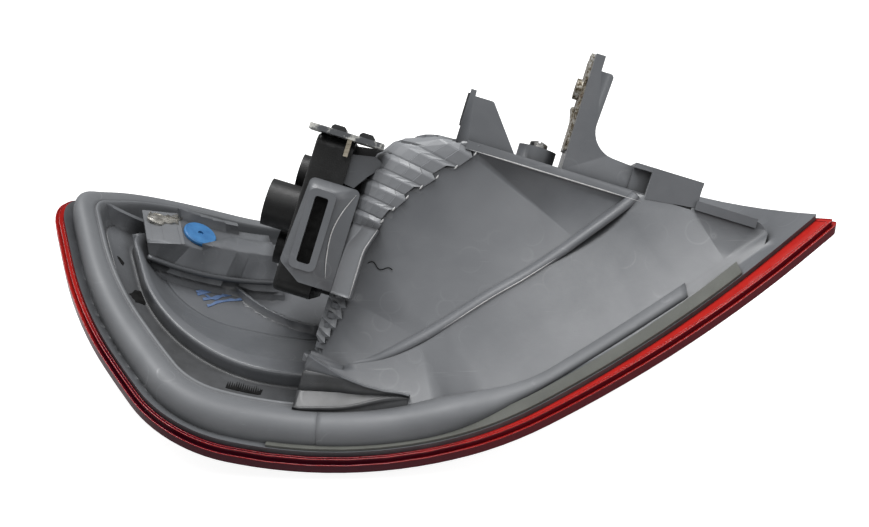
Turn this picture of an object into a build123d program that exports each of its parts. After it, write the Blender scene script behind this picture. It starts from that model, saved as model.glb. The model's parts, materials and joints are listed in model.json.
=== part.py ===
"""Tail light cluster lying on its lens: X along the lamp, Y away from the chamber's side wall, Z up."""
from build123d import *
from math import ceil, cos, radians, sin, sqrt, tan
import os

# Lens face: a main arc and a flatter end arc in the XZ plane, crowned along Y
FACE_X = 3.0
FACE_R = 223.0
FACE_END_R = 2000.0
FACE_LEFT_TURN = 56.0
FACE_RIGHT_TURN = 29.0
FACE_END_TURN = 6.5
CROWN_R = 700.0
CROWN_Y = 95.0
CROWN_HALF = 165.0

# How far fused pieces run into each other, and how far cuts run past what they cut
OVERLAP = 1.0
MARGIN = 20.0
PRISM_FOOT = -40.0
PRISM_HEIGHT = 260.0

# Plan outline of the lens as (x, y, corner radius), left far corner first
LENS_CORNERS = [
    (-165.5, 147.5, 40.0),
    (-138.4, 71.1, 225.0),
    (-82.5, -4.6, 62.0),
    (155.5, -4.0, 345.0),
    (252.0, 48.0, 4.0),
    (188.0, 165.0, 45.0),
    (40.0, 245.0, 80.0),
    (-122.0, 214.0, 112.0),
]
# Ledge of the lens outside the housing: two left sides, near, near right, right end, three far sides
LEDGE_SIDE = 5.0
LEDGE_NEAR = 6.0
LEDGE_RIGHT = 13.0
LEDGE_END = 3.0
LEDGES = [LEDGE_SIDE, LEDGE_SIDE, LEDGE_NEAR, LEDGE_RIGHT, LEDGE_END, LEDGE_SIDE, LEDGE_SIDE, LEDGE_SIDE]
LENS_WALL = 3.0
LIP_RISE = 4.0
LIP_STEP = 2.2
RIM_RISE = 6.5
RIM_WIDTH = 4.0
REFLEX_EDGE = 14.0
REFLEX_RIGHT = -55.0
REFLEX_WALL = 2.0

# Housing tray: heights above the lens's outer face
WALL = 3.0
FLANGE_WALL = 2.5
FLANGE_WIDTH = 6.5
TERRACE_RISE = 22.0
SHOULDER_WIDTH = 11.0
SHOULDER_RISE = 12.0
SHOULDER_STEPS = 5
FLOOR_RISE = 14.0
WALL_BASE = 15.0
SHOULDER_END = 45.0
# Inner edge of the shoulder, as distances from the flange's two left sides, near side and far sides
RIDGE_1_UPPER = 20.0
RIDGE_1_LOWER = 23.0
RIDGE_1_NEAR = 26.0
RIDGE_1_FAR = 19.0
RIDGE_1_WALL = 3.0
# Lines inside it, as distances from the flange's left, near and far sides and a corner radius
RIDGE_2 = (36.0, 58.0, 36.0, 80.0)
CREST = (39.0, 71.0, 40.0, 70.0)
BASIN = (47.0, 106.0, 44.0, 45.0)
FLANK_STEPS = 4
BASIN_RIGHT = 110.0
RIB_CENTRE = (0.5, 203.0)
RIB_R = 87.0
RIB_WALL = 2.2
RIB_RISE = 19.0
RIB_START = -78.0
RIB_END = -12.0
SPUR_START = (-136.0, 151.0)
SPUR_LENGTH = 29.0
SPUR_TURN = 22.0
SPUR_WALL = 2.4
SPUR_RISE = 23.0
STRIP_WALL = 1.2
STRIP_START = -32.0
STRIP_END = 204.0
STRIP_WIDTH = 12.0
STRIP_EDGE = 1.0
STRIP_REACH = 160.0

# Chamber axes: u along the chamber, v up its wall, w out of the wall
LEAN = 28.0
ROLL = 17.0
CHAMBER_ZERO = (0.0, 0.0, 7.0)
WALL_W = -9.0
RECESS = 5.0
FOOT_V = -20.0
BELOW = 150.0
CHAMBER_LEFT = -27.0
CHAMBER_RIGHT = 176.0
CHAMBER_TOP = 177.0
CHAMBER_DEPTH = 95.0
TAPER_U = 118.0
TAPER_W = -12.0
END_RISE = 4.0
END_ROUND = 6.0
TAPER_ROUND = 25.0
DOME_R = 32.0
LINER_WALL = 1.5
LINER_FOOT = 12.0
LEDGE_CURVE = [(-7.0, 47.0), (25.0, 71.0), (64.0, 118.0), (100.0, 154.0), (109.5, 180.0)]
LEDGE_RUN = 3.5
TOP_LIP = 3.5
LIP_LEFT = 18.0
TOP_LIP_PROUD = 1.5
TOP_LIP_RISE = 1.2
BEAD_LEFT = 8.0
BEAD_WIDTH = 5.0
BEAD_RISE = 12.0

# Faceted corner
FACET_PITCH = 8.2
FACET_STEPS = 6
FACET_SCALE = 0.7
FACET_DEPTH = 26.0
FACET_LOW_U = -16.0
FACET_HIGH_U = 29.0
FACET_BEND = 1.5
COMB_PITCH = 5.4
COMB_TEETH = 6
COMB_FOOT = 52.0
COMB_REACH_LOW = 5.0
COMB_REACH_HIGH = 11.0
COMB_SHORT = 0.45
BAR_LEFT = -30.0
BAR_RIGHT = -9.0
BAR_FOOT = 46.5
BAR_RISE = 3.6
BAR_SET = 1.5
PANEL_TOP = 112.0
PANEL_RIGHT = -16.0

# Latch loop
LATCH_W = -4.0
LATCH_WALL = 4.0
LATCH_LEFT = -55.0
LATCH_RIM = 1.5
LATCH_TOP = 137.0
LATCH_FOOT = 84.0
LATCH_BEVEL = 12.0
LATCH_HEEL = 8.0
LATCH_SLANT = 3.0
LATCH_ROUND = 3.0
SLOT_WIDTH = 7.0
SLOT_LENGTH = 34.5
SLOT_U = -43.5
SLOT_V = 111.2
SLOT_ROUND = 1.5
SLOT_RIM = 3.5
PANEL_SET = 2.0
PANEL_LAP = 6.0
NOSE_ROOM = 2.0
NOSE_SET = 3.0

# Bulb carrier
CARRIER_LEFT = -57.0
CARRIER_STEP = -37.0
CARRIER_FOOT = 76.0
CARRIER_TOP = 161.0
CARRIER_NEAR = -22.0
CARRIER_FAR = -103.0
CARRIER_ROUND = 6.0
COLLAR_FOOT = 80.0
COLLAR_TOP = 157.0
COLLAR_NEAR = -43.0
COLLAR_FAR = -100.0
COLLAR_WALL = 5.0
GASKET = 3.0
SEAT_GAP = 0.3

# Bulbs: name, place up the wall, place in depth, barrel radius, barrel end, glass radius
BULBS = [
    ("stop", 119.0, -64.0, 13.0, -77.0, 12.5),
    ("turn", 140.0, -84.5, 10.5, -67.0, 9.5),
    ("tail", 98.0, -84.5, 10.5, -67.0, 9.5),
]
CAP_R = 7.5
CAP_START = -50.0
CAP_END = -34.0
CAP_PIN_R = 0.9
CAP_PIN_PROUD = 1.6
SOCKET_WALL = 2.8
SOCKET_END = -40.0
BARREL_CUP = 3.0
NECK_R = 6.5
NECK_LENGTH = 4.0
GLASS_WALL = 0.8
POST_R = 0.3
POST_SPREAD = 2.5
POST_LENGTH = 12.0
CONTACT_WALL = 1.0
CONTACT_R = 5.0

# Connector and lead frames on the carrier
PLUG_V = 119.0
PLUG_W = -91.0
PLUG_HEIGHT = 17.0
PLUG_DEPTH = 14.0
PLUG_WALL = 1.8
PLUG_LEFT = -71.0
PLUG_PINS = 4
PLUG_PIN_PITCH = 3.6
PLUG_PIN_WALL = 0.8
PLUG_PIN_BACK = 7.5
LEAD_WALL = 0.8
LEAD_WIDTH = 5.0
LEAD_PITCH = 7.5
LEAD_NEAR = -27.0
LEAD_FOOT = 82.0
LEADS = [("ground_lead", 70.0), ("stop_lead", 58.0), ("tail_lead", 46.0)]

# Strip on top of the carrier
PLATE_LEFT = -62.0
PLATE_RIGHT = -22.5
PLATE_WALL = 3.0
PLATE_NEAR = -16.0
PLATE_DEPTH = 14.0
PLATE_HOLE_R = 1.6
PLATE_ROUND = 1.5
CLIP_EDGE = 2.0
CLIP_RISE = 2.6
BLADE_U = -41.0
BLADE_LENGTH = 9.0
BLADE_WIDTH = 2.4
CLIP_SHARES = [0.28, 0.66]
CLIP_LENGTH = 8.0

# Brackets on the top of the chamber
FIN_U = 12.0
FIN_TOP = 204.0
FIN_FOOT = 31.0
FIN_WALL = 3.0
FIN_HEAD = 13.0
FIN_SHOULDER = 3.0
FIN_DEPTH = 30.0
TALL_U = 68.0
TALL_TOP = 240.0
TALL_WALL = 5.0
TALL_DEPTH = 34.0
GUSSET_WALL = 4.0
GUSSET_TOP = 232.0
GUSSET_FOOT = 36.0
GUSSET_HEAD = 12.0
GUSSET_WAIST = 10.0
GUSSET_SWEEP = 14.0
GUSSET_ROUND = 2.0
BRACKET_W = -15.0
BOSS_U = 54.0
BOSS_W = -30.0
BOSS_R = 10.0
BOSS_RISE = 9.0
PIN_R = 4.8
PIN_RISE = 2.6
PIN_DOME = 1.4
PIN_SHANK_R = 3.6
PIN_DEPTH = 8.0
PIN_SLOT = 1.2
HOLE_V = 222.0
HOLE_R = 3.2
HOLE_ROOM = 1.0
NUT_WALL = 1.5
NUT_COLLAR_R = 5.6
NUT_COLLAR = 3.0
NUT_FOOT = 189.0
NUT_HALF = 10.0
TONGUE_V = 206.0
TONGUE_TURN = 14.0
TONGUE_WALL = 1.2
TONGUE_LENGTH = 12.0
PAD_WALL = 1.0
PAD_FOOT = 187.0
PAD_EDGE = 2.0
HOOD_LEFT = 112.0
HOOD_RIGHT = 139.0
HOOD_RISE = 15.0
HOOD_WALL = 2.6
HOOD_DEPTH = 28.0
HOOD_SWEEP = 2.0
HOOD_SET = 1.2
NOTCH_SET = 14.0

# Arm and vent plug
ARM_START = (-109.0, 131.0)
ARM_LENGTH = 72.0
ARM_WIDTH = 27.0
ARM_TURN = 15.5
ARM_RISE = 36.0
ARM_FOOT = 3.0
RAIL_WALL = 3.0
RAIL_RISE = 5.0
RAIL_START = 17.0
RAIL_END = 54.0
STEP_START = 30.0
STEP_REAR = 49.0
STEP_WIDTH = 14.5
STEP_RISE = 4.0
VENT_ALONG = 30.0
VENT_R = 9.8
VENT_RISE = 2.0
VENT_STEM_R = 4.0
VENT_STEM = 6.0
CLIP_REACH = 16.0
CLIP_WALL = 1.0


def inset(corners, by):
    """Corners of an outline moved in by one distance, or by one distance for each side."""
    count = len(corners)
    sides = by if isinstance(by, list) else [by] * count
    lines = []
    for index in range(count):
        here = Vector(*corners[index][:2])
        along = (Vector(*corners[(index + 1) % count][:2]) - here).normalized()
        inward = Vector(-along.Y, along.X)
        lines.append((here + inward * sides[index], along))
    moved = []
    for index in range(count):
        start, back = lines[index - 1]
        onto, ahead = lines[index]
        cross = back.X * ahead.Y - back.Y * ahead.X
        gap = onto - start
        reach = (gap.X * ahead.Y - gap.Y * ahead.X) / cross
        point = start + back * reach
        radius = corners[index][2] - max(sides[index - 1], sides[index])
        moved.append((point.X, point.Y, max(radius, 1.0)))
    return moved


def rounded(corners):
    """Face whose straight sides meet in the given (x, y, radius) corners."""
    bends = []
    count = len(corners)
    for index, (x, y, radius) in enumerate(corners):
        here = Vector(x, y)
        back = (Vector(*corners[index - 1][:2]) - here).normalized()
        ahead = (Vector(*corners[(index + 1) % count][:2]) - here).normalized()
        half = radians(back.get_angle(ahead)) / 2
        if radius == 0:
            bends.append((here, None, here))
            continue
        reach = radius / tan(half)
        middle = here + (back + ahead).normalized() * (radius / sin(half) - radius)
        bends.append((here + back * reach, middle, here + ahead * reach))
    edges = []
    for index, (start, middle, stop) in enumerate(bends):
        if middle is not None:
            edges.append(ThreePointArc(start, middle, stop))
        following = bends[(index + 1) % count][0]
        if (following - stop).length > 0.01:
            edges.append(Line(stop, following))
    return make_face(edges)


def face_strip(radius, centre_x, centre_z, start, turn, low, high):
    """Part of a crowned strip about an axis along Y, between two heights above the lens face."""
    ring = Circle(CROWN_R - low) - Circle(CROWN_R - high)
    reach = max(abs(low), abs(high)) + CROWN_HALF ** 2 / CROWN_R
    section = Pos(0, radius - CROWN_R) * ring & Pos(0, radius) * Rectangle(2 * CROWN_HALF, 2 * reach)
    plane = Plane((centre_x, CROWN_Y, centre_z), x_dir=(0, 1, 0), z_dir=(-1, 0, 0))
    axis = Axis((centre_x, 0, centre_z), (0, -1, 0))
    return revolve((plane * section).rotate(axis, start), axis, turn)


def face_slab(low, high):
    """Layer that follows the lens face, from low to high above its outer skin."""
    main_turn = FACE_LEFT_TURN + FACE_RIGHT_TURN
    main = face_strip(FACE_R, FACE_X, FACE_R, -FACE_LEFT_TURN, main_turn, low, high)
    bend = radians(FACE_RIGHT_TURN)
    centre_x = FACE_X - (FACE_END_R - FACE_R) * sin(bend)
    centre_z = FACE_R + (FACE_END_R - FACE_R) * cos(bend)
    end = face_strip(FACE_END_R, centre_x, centre_z, FACE_RIGHT_TURN, FACE_END_TURN, low, high)
    return main + end


def tall(face):
    """Upright prism on a plan face, tall enough for every layer."""
    return Pos(0, 0, PRISM_FOOT) * extrude(face, PRISM_HEIGHT, dir=(0, 0, 1))


def prism(corners):
    """Upright prism on a plan outline."""
    return tall(rounded(corners))


def chamber_axes():
    lean = radians(LEAN)
    roll = radians(ROLL)
    across = Vector(1, 0, 0)
    upward = Vector(0, sin(lean), cos(lean))
    outward = Vector(0, -cos(lean), sin(lean))
    along = across * cos(roll) - upward * sin(roll)
    return Plane(CHAMBER_ZERO, x_dir=along, z_dir=outward)


CHAMBER = chamber_axes()


def slice_uv(face, near, far):
    """Extrude an outline in u and v from one depth to a deeper one."""
    return Pos(0, 0, near) * extrude(face, near - far, dir=(0, 0, -1))


def stand_uw(face, low, high):
    """Extrude an outline in u and w upwards along v."""
    return Pos(0, low, 0) * extrude(Plane.XZ * face, high - low, dir=(0, 1, 0))


def span_vw(face, left, right):
    """Extrude an outline in v and w along u."""
    return Pos(left, 0, 0) * extrude(Plane.YZ * face, right - left, dir=(1, 0, 0))


def block(u_from, u_to, v_from, v_to, w_from, w_to):
    centre = Pos((u_from + u_to) / 2, (v_from + v_to) / 2, (w_from + w_to) / 2)
    return centre * Box(abs(u_to - u_from), abs(v_to - v_from), abs(w_to - w_from))


def barrel(radius, v, w, left, right):
    """Round bar along u."""
    return span_vw(Pos(v, w) * Circle(radius), left, right)


FLANGE_CORNERS = inset(LENS_CORNERS, LEDGES)
FLANGE_TOP = RIM_RISE + FLANGE_WALL


def lens():
    """Red bowl with a low outer lip and a higher rim inside it that carries the flange."""
    skin = face_slab(0, LENS_WALL) & prism(LENS_CORNERS)
    lip = prism(LENS_CORNERS) - prism(inset(LENS_CORNERS, LENS_WALL))
    rim = prism(inset(LENS_CORNERS, LIP_STEP)) - prism(inset(FLANGE_CORNERS, RIM_WIDTH))
    return skin + (face_slab(0, LIP_RISE) & lip) + (face_slab(0, RIM_RISE) & rim)


def reflex_insert():
    """Prismatic plate that lies behind the lens in the left tray."""
    low = LENS_WALL + SEAT_GAP
    plate = prism(terrace_corners(REFLEX_EDGE))
    left = LENS_CORNERS[0][0]
    run = tall(Pos((left + REFLEX_RIGHT) / 2, CROWN_Y) * Rectangle(REFLEX_RIGHT - left, 2 * CROWN_HALF))
    return face_slab(low, low + REFLEX_WALL) & plate & run


def terrace_corners(reach):
    """Outline inside the flange, farther in along the chamber's wall and right end."""
    right = WALL_BASE + reach
    return inset(FLANGE_CORNERS, [reach, reach, reach, right, right, reach, reach, reach])


def shoulder_line(shift):
    """Prism inside the shoulder's inner edge, in the left part of the tray."""
    near, far = RIDGE_1_NEAR + shift, RIDGE_1_FAR + shift
    upper, lower = RIDGE_1_UPPER + shift, RIDGE_1_LOWER + shift
    left = LENS_CORNERS[0][0] - MARGIN
    right = BASIN_RIGHT - far
    run = Pos((left + right) / 2, CROWN_Y) * Rectangle(right - left, 2 * CROWN_HALF)
    return prism(inset(FLANGE_CORNERS, [upper, lower, near, near, near, far, far, far])) & tall(run)


def basin_prism(line, shift):
    """Prism on one line of the tray's left part, moved in by the shift."""
    left, near, far, bend = line
    top, middle, low, near_right = FLANGE_CORNERS[:4]
    slope = (near_right[1] - low[1]) / (near_right[0] - low[0])
    fall = (middle[0] - top[0]) / (middle[1] - top[1])
    low_y = (low[1] + slope * (top[0] - fall * top[1] - low[0])) / (1 - slope * fall)
    far_left = FLANGE_CORNERS[-1]
    corners = [
        (top[0], top[1], 0),
        (top[0] + fall * (low_y - top[1]), low_y, 0),
        (BASIN_RIGHT, low[1] + slope * (BASIN_RIGHT - low[0]), 0),
        (BASIN_RIGHT, far_left[1], 0),
        (far_left[0], far_left[1], 0),
    ]
    moved = inset(corners, [left + shift, near + shift, far + shift, far + shift, far + shift])
    moved[1] = (moved[1][0], moved[1][1], bend - shift)
    return prism(moved)


def flank_line(step):
    """Line of one step of the flank that falls from the crest to the basin's floor."""
    share = step / FLANK_STEPS
    return tuple(crest + (basin - crest) * share for crest, basin in zip(CREST, BASIN))


def flank_rise(step):
    return TERRACE_RISE - (TERRACE_RISE - FLOOR_RISE) * step / FLANK_STEPS


def terrace():
    """Raised inner part of the tray, with a shoulder rounded off in fine steps."""
    layers = []
    for step in range(SHOULDER_STEPS):
        top = radians(90 * (step + 1) / SHOULDER_STEPS)
        bottom = radians(90 * step / SHOULDER_STEPS)
        rise = TERRACE_RISE - SHOULDER_RISE * (1 - sin(top))
        reach = FLANGE_WIDTH + SHOULDER_WIDTH * (1 - cos(bottom))
        layers.append(face_slab(RIM_RISE, rise) & prism(terrace_corners(reach)))
    return layers[0].fuse(*layers[1:]) - CHAMBER * wall_block(SHOULDER_END, STRIP_REACH)


def rib():
    """Curved rib on the basin floor, from the arm's foot to the chamber."""
    ring = Circle(RIB_R + RIB_WALL / 2) - Circle(RIB_R - RIB_WALL / 2)
    window = Pos((RIB_START + RIB_END) / 2, RIB_CENTRE[1] - RIB_R) * Rectangle(RIB_END - RIB_START, RIB_R)
    outline = Pos(*RIB_CENTRE) * ring & window
    return tall(outline) & face_slab(FLOOR_RISE - OVERLAP, RIB_RISE)


def spur():
    """Straight rib from the shoulder's corner to the arm's left end."""
    outline = Pos(*SPUR_START) * Rot(0, 0, SPUR_TURN) * Pos(SPUR_LENGTH / 2, 0)
    wall = tall(outline * Rectangle(SPUR_LENGTH, SPUR_WALL))
    return wall & face_slab(FLOOR_RISE - OVERLAP, SPUR_RISE)


def tray():
    """Flange, shoulder, trough, ridge with a falling flank, and the basin floor with its ribs."""
    flange = face_slab(RIM_RISE, FLANGE_TOP) & prism(FLANGE_CORNERS)
    over = TERRACE_RISE + OVERLAP
    body = flange + terrace()
    body -= face_slab(FLOOR_RISE, over) & (shoulder_line(0) - basin_prism(RIDGE_2, 0))
    for step in range(FLANK_STEPS):
        body -= face_slab(flank_rise(step + 1), over) & basin_prism(flank_line(step), 0)
    return body + rib() + spur()


def tray_hollow():
    """Space between lens and tray, with the cored undersides of shoulder and ridge."""
    edge = FLANGE_WIDTH + WALL
    foot = FLOOR_RISE - WALL
    space = face_slab(RIM_RISE - OVERLAP, foot) & prism(terrace_corners(edge))
    shoulder = prism(terrace_corners(edge + SHOULDER_WIDTH / 2)) - shoulder_line(-RIDGE_1_WALL)
    space += face_slab(foot - OVERLAP, TERRACE_RISE - WALL) & shoulder
    for step in range(FLANK_STEPS):
        ridge = basin_prism(RIDGE_2, WALL) - basin_prism(flank_line(step), -WALL)
        space += face_slab(foot - OVERLAP, flank_rise(step) - WALL) & ridge
    return space


def arm_spot(along, across):
    """Place on the arm, along and across it from its near left corner."""
    return Pos(*ARM_START) * Rot(0, 0, ARM_TURN) * Pos(along, across)


def arm_layer(grow, low, high):
    """Layer of the arm that runs from the left shoulder to the foot of the carrier."""
    outline = Rectangle(ARM_LENGTH + 2 * grow, ARM_WIDTH + 2 * grow)
    return face_slab(low, high) & tall(arm_spot(ARM_LENGTH / 2, ARM_WIDTH / 2) * outline)


def arm():
    """Box beam on the basin floor with a foot lip, a fin along its rear and a slanted step at its right."""
    spot = arm_spot((RAIL_START + RAIL_END) / 2, ARM_WIDTH - RAIL_WALL / 2)
    rail = tall(spot * Rectangle(RAIL_END - RAIL_START, RAIL_WALL))
    points = [(STEP_START, 0), (ARM_LENGTH, 0), (ARM_LENGTH, STEP_WIDTH), (STEP_REAR, STEP_WIDTH)]
    step = tall(arm_spot(0, 0) * Polygon(*points, align=None))
    beam = arm_layer(0, FLOOR_RISE - OVERLAP, ARM_RISE)
    beam += arm_layer(ARM_FOOT, FLOOR_RISE - OVERLAP, FLOOR_RISE + ARM_FOOT)
    beam += rail & face_slab(ARM_RISE - OVERLAP, ARM_RISE + RAIL_RISE)
    return beam + (step & face_slab(ARM_RISE - OVERLAP, ARM_RISE + STEP_RISE))


def vent_axis():
    """Plane on the arm's top, square to it, where the vent plug sits."""
    spot = arm_spot(VENT_ALONG, ARM_WIDTH / 2)
    x, y = spot.position.X, spot.position.Y
    off = y - CROWN_Y
    crown = sqrt((CROWN_R - ARM_RISE) ** 2 - off ** 2)
    reach = FACE_R - CROWN_R + crown
    rise = FACE_R - sqrt(reach ** 2 - (x - FACE_X) ** 2)
    normal = Vector(FACE_X - x, -off * reach / crown, FACE_R - rise).normalized()
    return Plane((x, y, rise), x_dir=(0, FACE_R - rise, off * reach / crown), z_dir=normal)


def vent_plug():
    """Disc with a centre dimple and a stem that drops through the arm's top."""
    disc = Pos(0, 0, SEAT_GAP + VENT_RISE / 2) * Cylinder(VENT_R, VENT_RISE)
    disc = chamfer(disc.edges().group_by(Axis.Z)[-1], VENT_RISE / 3)
    stem = Pos(0, 0, -VENT_STEM / 2) * Cylinder(VENT_STEM_R - SEAT_GAP, VENT_STEM + 2 * SEAT_GAP)
    dimple = Pos(0, 0, SEAT_GAP + VENT_RISE) * Cylinder(VENT_R / 6, VENT_RISE)
    return vent_axis() * (disc + stem - dimple)


def chamber_outline(shrink):
    """Chamber seen square to its side wall, with the domed left corner and the higher right end."""
    left = CHAMBER_LEFT + shrink
    right = CHAMBER_RIGHT - shrink
    top = CHAMBER_TOP - shrink
    step = HOOD_RIGHT - HOOD_WALL + shrink
    corners = [
        (left, FOOT_V, 0),
        (right, FOOT_V, 0),
        (right, top + END_RISE, END_ROUND),
        (step, top + END_RISE, 0),
        (step, top, 0),
        (left, top, DOME_R - shrink),
    ]
    return rounded(corners)


def chamber_plan(shrink):
    """Chamber seen along its wall: full depth at the left, tapering to the right end."""
    left = CHAMBER_LEFT - MARGIN
    right = CHAMBER_RIGHT + MARGIN
    near = WALL_W - shrink
    far = WALL_W - CHAMBER_DEPTH + shrink
    corners = [
        (left, far, 0),
        (TAPER_U - shrink, far, TAPER_ROUND),
        (right, TAPER_W + shrink, 0),
        (right, near, 0),
        (left, near, 0),
    ]
    return rounded(corners)


def chamber_solid(shrink):
    far = WALL_W - CHAMBER_DEPTH - OVERLAP
    solid = slice_uv(chamber_outline(shrink), WALL_W + OVERLAP, far)
    return solid & stand_uw(chamber_plan(shrink), FOOT_V, CHAMBER_TOP + END_RISE + OVERLAP)


def recess_face():
    """Upper left of the wall, above the ledge's curve."""
    curve = Spline(*LEDGE_CURVE)
    left = CHAMBER_LEFT - MARGIN
    top = CHAMBER_TOP + MARGIN
    corners = [(LEDGE_CURVE[-1][0], top), (left, top), (left, LEDGE_CURVE[0][1])]
    rest = Polyline(curve @ 1, *corners, curve @ 0)
    return make_face([curve, *rest.edges()])


def recess():
    """Cut that sets the upper left of the wall back behind the curved, sloping ledge."""
    run = LEDGE_RUN / sqrt(2)
    back = Pos(-run, run, WALL_W - RECESS) * recess_face()
    return loft([Pos(0, 0, WALL_W) * recess_face(), back], ruled=True)


def edge_u(v):
    """Left limit of the chamber at one height, on the dome above and straight below."""
    above = v - (CHAMBER_TOP - DOME_R)
    if above <= 0:
        return CHAMBER_LEFT
    return CHAMBER_LEFT + DOME_R - sqrt(DOME_R ** 2 - min(above, DOME_R) ** 2)


def facet_row(low, high, right, shift):
    """Cut for one row of facets: flat scales, each set a little behind the last, round the corner."""
    edge = edge_u((low + high) / 2)
    depth = WALL_W - RECESS
    left = CHAMBER_LEFT - MARGIN
    points = [(left, WALL_W + OVERLAP), (right, WALL_W + OVERLAP)]
    for step in range(FACET_STEPS):
        for turn, reach in ((step, right - edge + FACET_SCALE), (step + 1, right - edge)):
            bend = radians(90 * min(max(turn - shift, 0) / (FACET_STEPS - shift), 1))
            points.append((edge + reach * (1 - sin(bend)), depth - FACET_DEPTH * (1 - cos(bend))))
    points.append((left, depth - FACET_DEPTH))
    return stand_uw(Polygon(*points, align=None), low, high)


def facets():
    """Faceted corner: a comb of teeth low down, then rows that reach farther up the dome."""
    rows = []
    for tooth in range(COMB_TEETH):
        low = COMB_FOOT + tooth * COMB_PITCH
        middle = low + COMB_PITCH / 2
        reach = COMB_REACH_LOW + (COMB_REACH_HIGH - COMB_REACH_LOW) * tooth / (COMB_TEETH - 1)
        rows.append(facet_row(low, middle, CHAMBER_LEFT + reach, 0))
        rows.append(facet_row(middle, low + COMB_PITCH, CHAMBER_LEFT + reach * COMB_SHORT, 0))
    count = ceil((CHAMBER_TOP - PANEL_TOP) / FACET_PITCH)
    for row in range(count):
        low = PANEL_TOP + row * FACET_PITCH
        grown = ((row + 0.5) / count) ** FACET_BEND
        right = FACET_LOW_U + (FACET_HIGH_U - FACET_LOW_U) * grown
        rows.append(facet_row(low, low + FACET_PITCH, right, row % 2 / 2))
    return rows


def carrier_opening():
    v = (COLLAR_FOOT + COLLAR_TOP) / 2
    w = (COLLAR_NEAR + COLLAR_FAR) / 2
    height = COLLAR_TOP - COLLAR_FOOT - 2 * COLLAR_WALL
    depth = COLLAR_NEAR - COLLAR_FAR - 2 * COLLAR_WALL
    return Pos(v, w) * RectangleRounded(height, depth, COLLAR_WALL)


def corner_block(grow):
    """Solid left at the near left corner so that the facets don't break through."""
    low_u = FACET_LOW_U + WALL + grow
    high_u = FACET_HIGH_U + WALL + grow
    left = CHAMBER_LEFT - MARGIN
    top = CHAMBER_TOP + MARGIN
    points = [(left, FOOT_V), (low_u, FOOT_V), (low_u, PANEL_TOP)]
    points += [(high_u, CHAMBER_TOP), (high_u, top), (left, top)]
    return slice_uv(Polygon(*points, align=None), MARGIN, WALL_W - RECESS - FACET_DEPTH - WALL - grow)


def hollow_form(shrink):
    """Inside of the chamber behind the set-back wall and the faceted corner."""
    form = chamber_solid(WALL + shrink) - corner_block(shrink)
    near = WALL_W - RECESS - WALL - shrink
    return form - block(CHAMBER_LEFT - MARGIN, CHAMBER_RIGHT + MARGIN, FOOT_V - MARGIN, CHAMBER_TOP + MARGIN,
                        near, MARGIN)


def chamber_hollow():
    """Inside of the chamber, with the room behind the proud lower wall and the carrier's opening."""
    low = slice_uv(chamber_outline(WALL), WALL_W - WALL, WALL_W - RECESS - WALL - OVERLAP)
    low -= Pos(WALL, -WALL, 0) * slice_uv(recess_face(), WALL_W + MARGIN, WALL_W - 2 * RECESS - WALL)
    opening = span_vw(carrier_opening(), CHAMBER_LEFT - MARGIN, CHAMBER_LEFT + WALL + OVERLAP)
    return hollow_form(0) + low + opening


def bead():
    """Rounded foot of the chamber wall along the flange."""
    return face_slab(FLANGE_TOP - OVERLAP, BEAD_RISE) & CHAMBER * wall_block(BEAD_LEFT, BEAD_WIDTH)


def wall_block(left, width):
    """Upright block in front of the chamber's wall, from its left end to the wall's right end."""
    return block(left, CHAMBER_RIGHT, FOOT_V, CHAMBER_TOP + MARGIN, WALL_W - OVERLAP, WALL_W + width)


def latch():
    """Loop that snaps over the carrier's nose, on a raised panel of the faceted corner."""
    far = LATCH_W - LATCH_WALL
    outline = [
        (LATCH_LEFT + LATCH_BEVEL, LATCH_FOOT, LATCH_ROUND),
        (CHAMBER_LEFT + OVERLAP, LATCH_FOOT, 0),
        (CHAMBER_LEFT + OVERLAP, LATCH_TOP, LATCH_ROUND),
        (LATCH_LEFT + LATCH_SLANT, LATCH_TOP, LATCH_ROUND),
        (LATCH_LEFT, LATCH_FOOT + LATCH_HEEL, LATCH_ROUND),
    ]
    slot = Pos(SLOT_U, SLOT_V) * RectangleRounded(SLOT_WIDTH, SLOT_LENGTH, SLOT_ROUND)
    rim = Pos(SLOT_U, SLOT_V) * RectangleRounded(
        SLOT_WIDTH + 2 * SLOT_RIM, SLOT_LENGTH + 2 * SLOT_RIM, SLOT_RIM)
    plate = slice_uv(rounded(outline), LATCH_W, far) + slice_uv(rim, LATCH_W + LATCH_RIM, far)
    panel = block(CHAMBER_LEFT - PANEL_LAP, PANEL_RIGHT, LATCH_FOOT, PANEL_TOP,
                  LATCH_W - PANEL_SET, WALL_W - RECESS - FACET_DEPTH)
    return plate + panel - slice_uv(slot, LATCH_W + MARGIN, far - OVERLAP)


def fin():
    """Upright plate on the chamber's top with a gusset at each end."""
    foot = CHAMBER_TOP - OVERLAP
    plate = block(FIN_U, FIN_U + FIN_WALL, foot, FIN_TOP, BRACKET_W, BRACKET_W - FIN_DEPTH)
    corners = [
        (FIN_U, foot, 0),
        (FIN_U + FIN_FOOT, foot, 0),
        (FIN_U + FIN_FOOT, CHAMBER_TOP + OVERLAP, 0),
        (FIN_U + FIN_HEAD, FIN_TOP - FIN_SHOULDER, GUSSET_ROUND),
        (FIN_U, FIN_TOP - FIN_SHOULDER, 0),
    ]
    near = slice_uv(rounded(corners), BRACKET_W, BRACKET_W - GUSSET_WALL)
    return plate + near + Pos(0, 0, GUSSET_WALL - FIN_DEPTH) * near


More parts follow.
